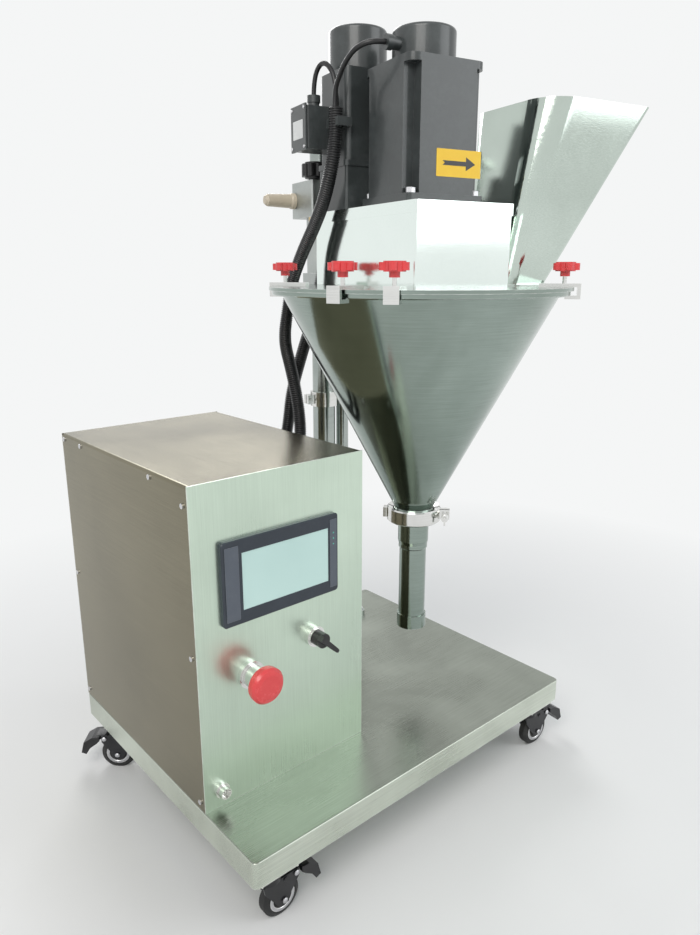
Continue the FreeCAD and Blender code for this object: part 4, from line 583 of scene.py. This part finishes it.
def ribbed_hose(name, points, radius, node):
    """Corrugated hose that stretches between the cabinet and the lifted head."""
    line = route_line(name + "_line", points)
    path = followed(line)
    modifier = line.modifiers.new("ribs", "NODES")
    modifier.node_group = RIBBED_HOSE
    sizes = {"Radius": radius * MM, "Rib pitch": 3.4 * MM, "Rib depth": 1.7 * MM, "Sides": 18,
             "Finish": hose_rubber}
    for item in RIBBED_HOSE.interface.items_tree:
        if item.item_type == "SOCKET" and item.in_out == "INPUT" and item.name != "Geometry":
            modifier[item.identifier] = sizes[item.name]
    bpy.context.view_layer.update()
    seen = bpy.context.evaluated_depsgraph_get()
    mesh = bpy.data.meshes.new_from_object(line.evaluated_get(seen))
    mesh.name = name
    bpy.data.objects.remove(line)
    piece = bpy.data.objects.new(name, mesh)
    bpy.context.scene.collection.objects.link(piece)
    for face in mesh.polygons:
        face.use_smooth = True
    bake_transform(piece)
    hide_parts(node)
    return piece


AUGER_HOSE = [head_point(-97, 84, 919), head_point(-97, 84, 873),
              head_point(-102, 92, 829), head_point(-101, 118, 790), head_point(-104, 150, 752),
              head_point(-109, 184, 714), head_point(-117, 208, 670), head_point(-120, 221, 622),
              base_point(356, 404, 574), base_point(347, 374, 532), base_point(344, 356, 490),
              base_point(344, 347, 448), base_point(341, 343, 412), base_point(328, 340, 380),
              base_point(308, 340, 356), base_point(280, 340, 356)]
STIRRER_HOSE = [head_point(-28, 202, 860), head_point(-27, 216, 812), head_point(-31, 226, 762),
                head_point(-39, 236, 712), head_point(-48, 243, 662), head_point(-60, 240, 614),
                base_point(406, 408, 570), base_point(382, 400, 526), base_point(363, 396, 482),
                base_point(354, 392, 442), base_point(346, 390, 410), base_point(330, 388, 380),
                base_point(308, 388, 356), base_point(280, 388, 356)]
ribbed_hose("auger_hose_ribs", AUGER_HOSE, 10.5, "auger_hose")
ribbed_hose("stirrer_hose_ribs", STIRRER_HOSE, 10.5, "stirrer_hose")


def lead(name, points, radius):
    line = route_line(name, points)
    line.data.bevel_depth = radius * MM
    line.data.bevel_resolution = 5
    line.data.use_fill_caps = True
    line.data.materials.append(hose_rubber)
    path = followed(route_line(name + "_middle", points))
    bpy.data.objects.remove(bpy.data.objects[name + "_middle"])
    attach(line, "head")
    return line


TERMINAL = (-104.5, 141.0)
motor_lead = lead("motor_lead", [head_point(-55, 0, 990), head_point(-80, 0, 990), head_point(-99, 17, 984),
                                 head_point(-104, 41, 970), head_point(-102, 65, 954),
                                 head_point(-100, 81, 940), head_point(-100, 81, 919.3)], 3.6)
lead("stirrer_lead", [head_point(TERMINAL[0], TERMINAL[1], 936), head_point(TERMINAL[0], TERMINAL[1], 966),
                      head_point(TERMINAL[0] + 3, TERMINAL[1] - 18, 987),
                      head_point(TERMINAL[0] + 7, TERMINAL[1] - 41, 978), head_point(-94, 87, 949),
                      head_point(-94, 87, 919.3)], 3.6)
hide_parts("motor_leads")


# ---- plates and marks -----------------------------------------------------------
def flat_plate(name, corners, thickness, round_by, place, material, body):
    mesh = mesh_from(name, lambda work: plate(work, corners, thickness, round_by), place)
    return finish_piece(name, mesh, material, body)


head_turn = HEAD.to_3x3()
FRONT = head_turn @ Vector((0, -1, 0))
LEFT = head_turn @ Vector((-1, 0, 0))
RIGHT = head_turn @ Vector((1, 0, 0))
UP = Vector((0, 0, 1))
ARROW = [(-28, -3.0), (12, -3.0), (12, -9), (28, 0), (12, 9), (12, 3.0), (-28, 3.0), (-24, 0)]
servo_face = 62.5
flat_plate("direction_plate", rectangle(76, 36), 0.5, 1.5, facing(head_point(20, -servo_face, 833), FRONT, UP),
           yellow_film, "head")
flat_plate("direction_arrow", ARROW, 0.25, 0, facing(head_point(20, -servo_face - 0.5, 833), FRONT, UP),
           black_plastic, "head")
flat_plate("bare_motor_plate", rectangle(52, 40), 0.4, 1.5, facing(head_point(servo_face, 0, 860), RIGHT, UP),
           zinc, "head")
flat_plate("terminal_plate", rectangle(34, 26), 0.4, 1.2, facing(head_point(-131.5, 141, 894), LEFT, UP),
           white_film, "head")

# ---- motors and lock ----------------------------------------------------------
flange_bolts = [(head_point(x, y, 792), UP) for x in (-53.5, 53.5) for y in (-53.5, 53.5)]
fasteners("servo_flange_bolts", hex_head, flange_bolts, zinc, "head")
lid_screws = [(head_point(-131.5, y, z), LEFT) for y in (120, 162) for z in (869, 923)]
fasteners("terminal_box_screws", pan_head, lid_screws, zinc, "head", 0.9)


def lock_nut(work):
    lathe(work, [(5.0, -36.4), (8.4, -36.4), (11.4, -26.2), (11.4, -0.2), (5.0, -0.2), (5.0, -36.4)], 40,
          Matrix.Translation(head_point(-50, 252, 778)))


def hose_junction(work):
    """Block on the stirrer motor's back that the second hose runs up into."""
    back = head_turn @ Vector((0, 1, 0))
    plate(work, rectangle(34, 48), 44, 3.0)
    bmesh.ops.transform(work, matrix=facing(head_point(-28, 194, 852), UP, back), verts=work.verts[:])
    lathe(work, [(11.0, 842), (13.5, 842), (14.5, 843), (14.5, 852.5), (11.0, 852.5), (11.0, 842)], 32,
          Matrix.Translation(head_point(-28, 202, 0)))


finish_piece("hose_junction_block", mesh_from("hose_junction_block", hose_junction), black_plastic, "head")
finish_piece("lock_nut_brass", mesh_from("lock_nut_brass", lock_nut), brass, "lock_knob")

# ---- casters ------------------------------------------------------------------
def caster_frame(index):
    x, y = CASTER_PLACES[index]
    turn = Matrix.Rotation(math.radians(CASTER_TURNS[index]), 4, "Z")
    return Matrix.Translation(base_point(x, y, -TRAY_TOP)) @ turn


for index, name in enumerate(NAMES):
    spot = caster_frame(index)
    across = spot.to_3x3() @ Vector((0, 1, 0))
    rivets = []
    for side in (-1, 1):
        for x, z, reach in ((16, 28, 14.7), (36, 58.8, 14.2)):
            rivets.append((spot @ Vector((x * MM, side * reach * MM, z * MM)), across * side))
    fasteners(name + "_rivets", rivet_head, rivets, zinc, name + "_fork", 1.15)
    faces = [facing(spot @ Vector((16 * MM, side * 8.55 * MM, 28 * MM)), across * side, UP) for side in (-1, 1)]

    # painted highlight: a zinc ring on each hub face stands for the shine on the glossy black hub cover
    def hub_highlight_rings(work):
        for place in faces:
            lathe(work, [(14.4, 0), (15.0, 0.5), (18.6, 0.6), (19.4, 0), (14.4, 0)], 40, place)
    finish_piece(name + "_wheel_rings", mesh_from(name + "_wheel_rings", hub_highlight_rings), zinc,
                 name + "_wheel")

# ---- cabinet -----------------------------------------------------------------
low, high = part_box("hmi_housing")
for k, (x, wide) in enumerate(((14.5, 20.0), (177.0, 12.0))):
    flat_plate("bezel_bar_%d" % (k + 1), rectangle(wide, 99), 0.4, 1.0,
               facing((low[0] + x * MM, low[1] - 0.0002, (low[2] + high[2]) / 2), (0, -1, 0), UP),
               bar_plastic, "base")
lamps = [((low[0] + 177.0 * MM, low[1] - 0.0006, high[2] - z * MM), (0, -1, 0)) for z in (27, 35, 43)]
fasteners("bezel_lamps", pan_head, lamps, lamp_green, "base", 0.45)

for template in (socket_head, hex_head, pan_head, rivet_head):
    bpy.data.objects.remove(template)


# ---- studio --------------------------------------------------------------------
def studio():
    floor_mesh = mesh_from("studio_floor", lambda work: plate(work, rectangle(24000, 24000), 1.0),
                           Matrix.Translation((0, 0, -0.001)))
    floor = bpy.data.objects.new("studio_floor", floor_mesh)
    bpy.context.scene.collection.objects.link(floor)
    material, tree, surface, place = start_material("floor_paper")
    fibre = put(tree, "ShaderNodeTexNoise", {"Vector": place, "Scale": 3.0, "Detail": 3.0})
    tree.links.new(mixed(tree, fibre.outputs[0], (0.80, 0.80, 0.79, 1), (0.84, 0.84, 0.83, 1)),
                   surface.inputs["Base Color"])
    surface.inputs["Roughness"].default_value = 0.8
    spread = put(tree, "ShaderNodeVectorMath", {0: place}, operation="LENGTH")
    away = ramp(tree, spread.outputs["Value"], 0.55, 1.5, 0.0, 1.0)
    floor_path = put(tree, "ShaderNodeLightPath")
    looked_at = maths(tree, "MAXIMUM", floor_path.outputs["Is Camera Ray"],
                      maths(tree, "MAXIMUM", floor_path.outputs["Is Glossy Ray"],
                            floor_path.outputs["Is Transmission Ray"]))
    bright = put(tree, "ShaderNodeEmission", {"Color": (0.93, 0.94, 0.94, 1), "Strength": 0.98})
    joined = put(tree, "ShaderNodeMixShader", {0: maths(tree, "MULTIPLY", away, looked_at),
                                               1: surface.outputs[0], 2: bright.outputs[0]})
    tree.links.new(joined.outputs[0], tree.nodes["Material Output"].inputs["Surface"])
    floor_mesh.materials.append(material)
    world = bpy.data.worlds.new("studio_air")
    bpy.context.scene.world = world
    world.use_nodes = True
    tree = world.node_tree
    tree.nodes.clear()
    path = put(tree, "ShaderNodeLightPath")
    seen = maths(tree, "MAXIMUM", path.outputs["Is Camera Ray"],
                 maths(tree, "MAXIMUM", path.outputs["Is Glossy Ray"], path.outputs["Is Transmission Ray"]))
    soft = put(tree, "ShaderNodeBackground", {"Color": (0.80, 0.83, 0.87, 1), "Strength": 0.55})
    pale = put(tree, "ShaderNodeBackground", {"Color": (0.93, 0.94, 0.94, 1), "Strength": 0.98})
    both = put(tree, "ShaderNodeMixShader", {0: seen, 1: soft.outputs[0], 2: pale.outputs[0]})
    out = put(tree, "ShaderNodeOutputWorld", {"Surface": both.outputs[0]})
    for name, place, size, power, colour in (
            ("window_key", (-1.9, -1.2, 2.4), 1.6, 42.0, (1.0, 0.98, 0.95)),
            ("front_fill", (1.4, -2.2, 1.8), 1.8, 22.0, (0.95, 0.98, 1.0)),
            ("back_rim", (0.8, 2.2, 2.2), 1.4, 26.0, (1.0, 1.0, 1.0))):
        light = bpy.data.lights.new(name, "AREA")
        light.shape = "SQUARE"
        light.size = size
        light.energy = power
        light.color = colour
        lamp = bpy.data.objects.new(name, light)
        bpy.context.scene.collection.objects.link(lamp)
        lamp.location = place
        aim = Vector((0, 0, 0.5)) - Vector(place)
        lamp.rotation_euler = aim.to_track_quat("-Z", "Y").to_euler()


def camera():
    data = bpy.data.cameras.new("view")
    data.sensor_fit = "VERTICAL"
    data.sensor_height = 36.0
    data.lens = 28.405
    eye = bpy.data.objects.new("view", data)
    bpy.context.scene.collection.objects.link(eye)
    eye.location = (-0.78400, -0.85611, 0.82034)
    azimuth, elevation = math.radians(41.12), math.radians(15.07)
    ahead = Vector((math.sin(azimuth) * math.cos(elevation), math.cos(azimuth) * math.cos(elevation),
                    -math.sin(elevation)))
    eye.rotation_euler = ahead.to_track_quat("-Z", "Y").to_euler()
    bpy.context.scene.camera = eye


studio()
camera()
bpy.context.scene.view_settings.view_transform = "Standard"
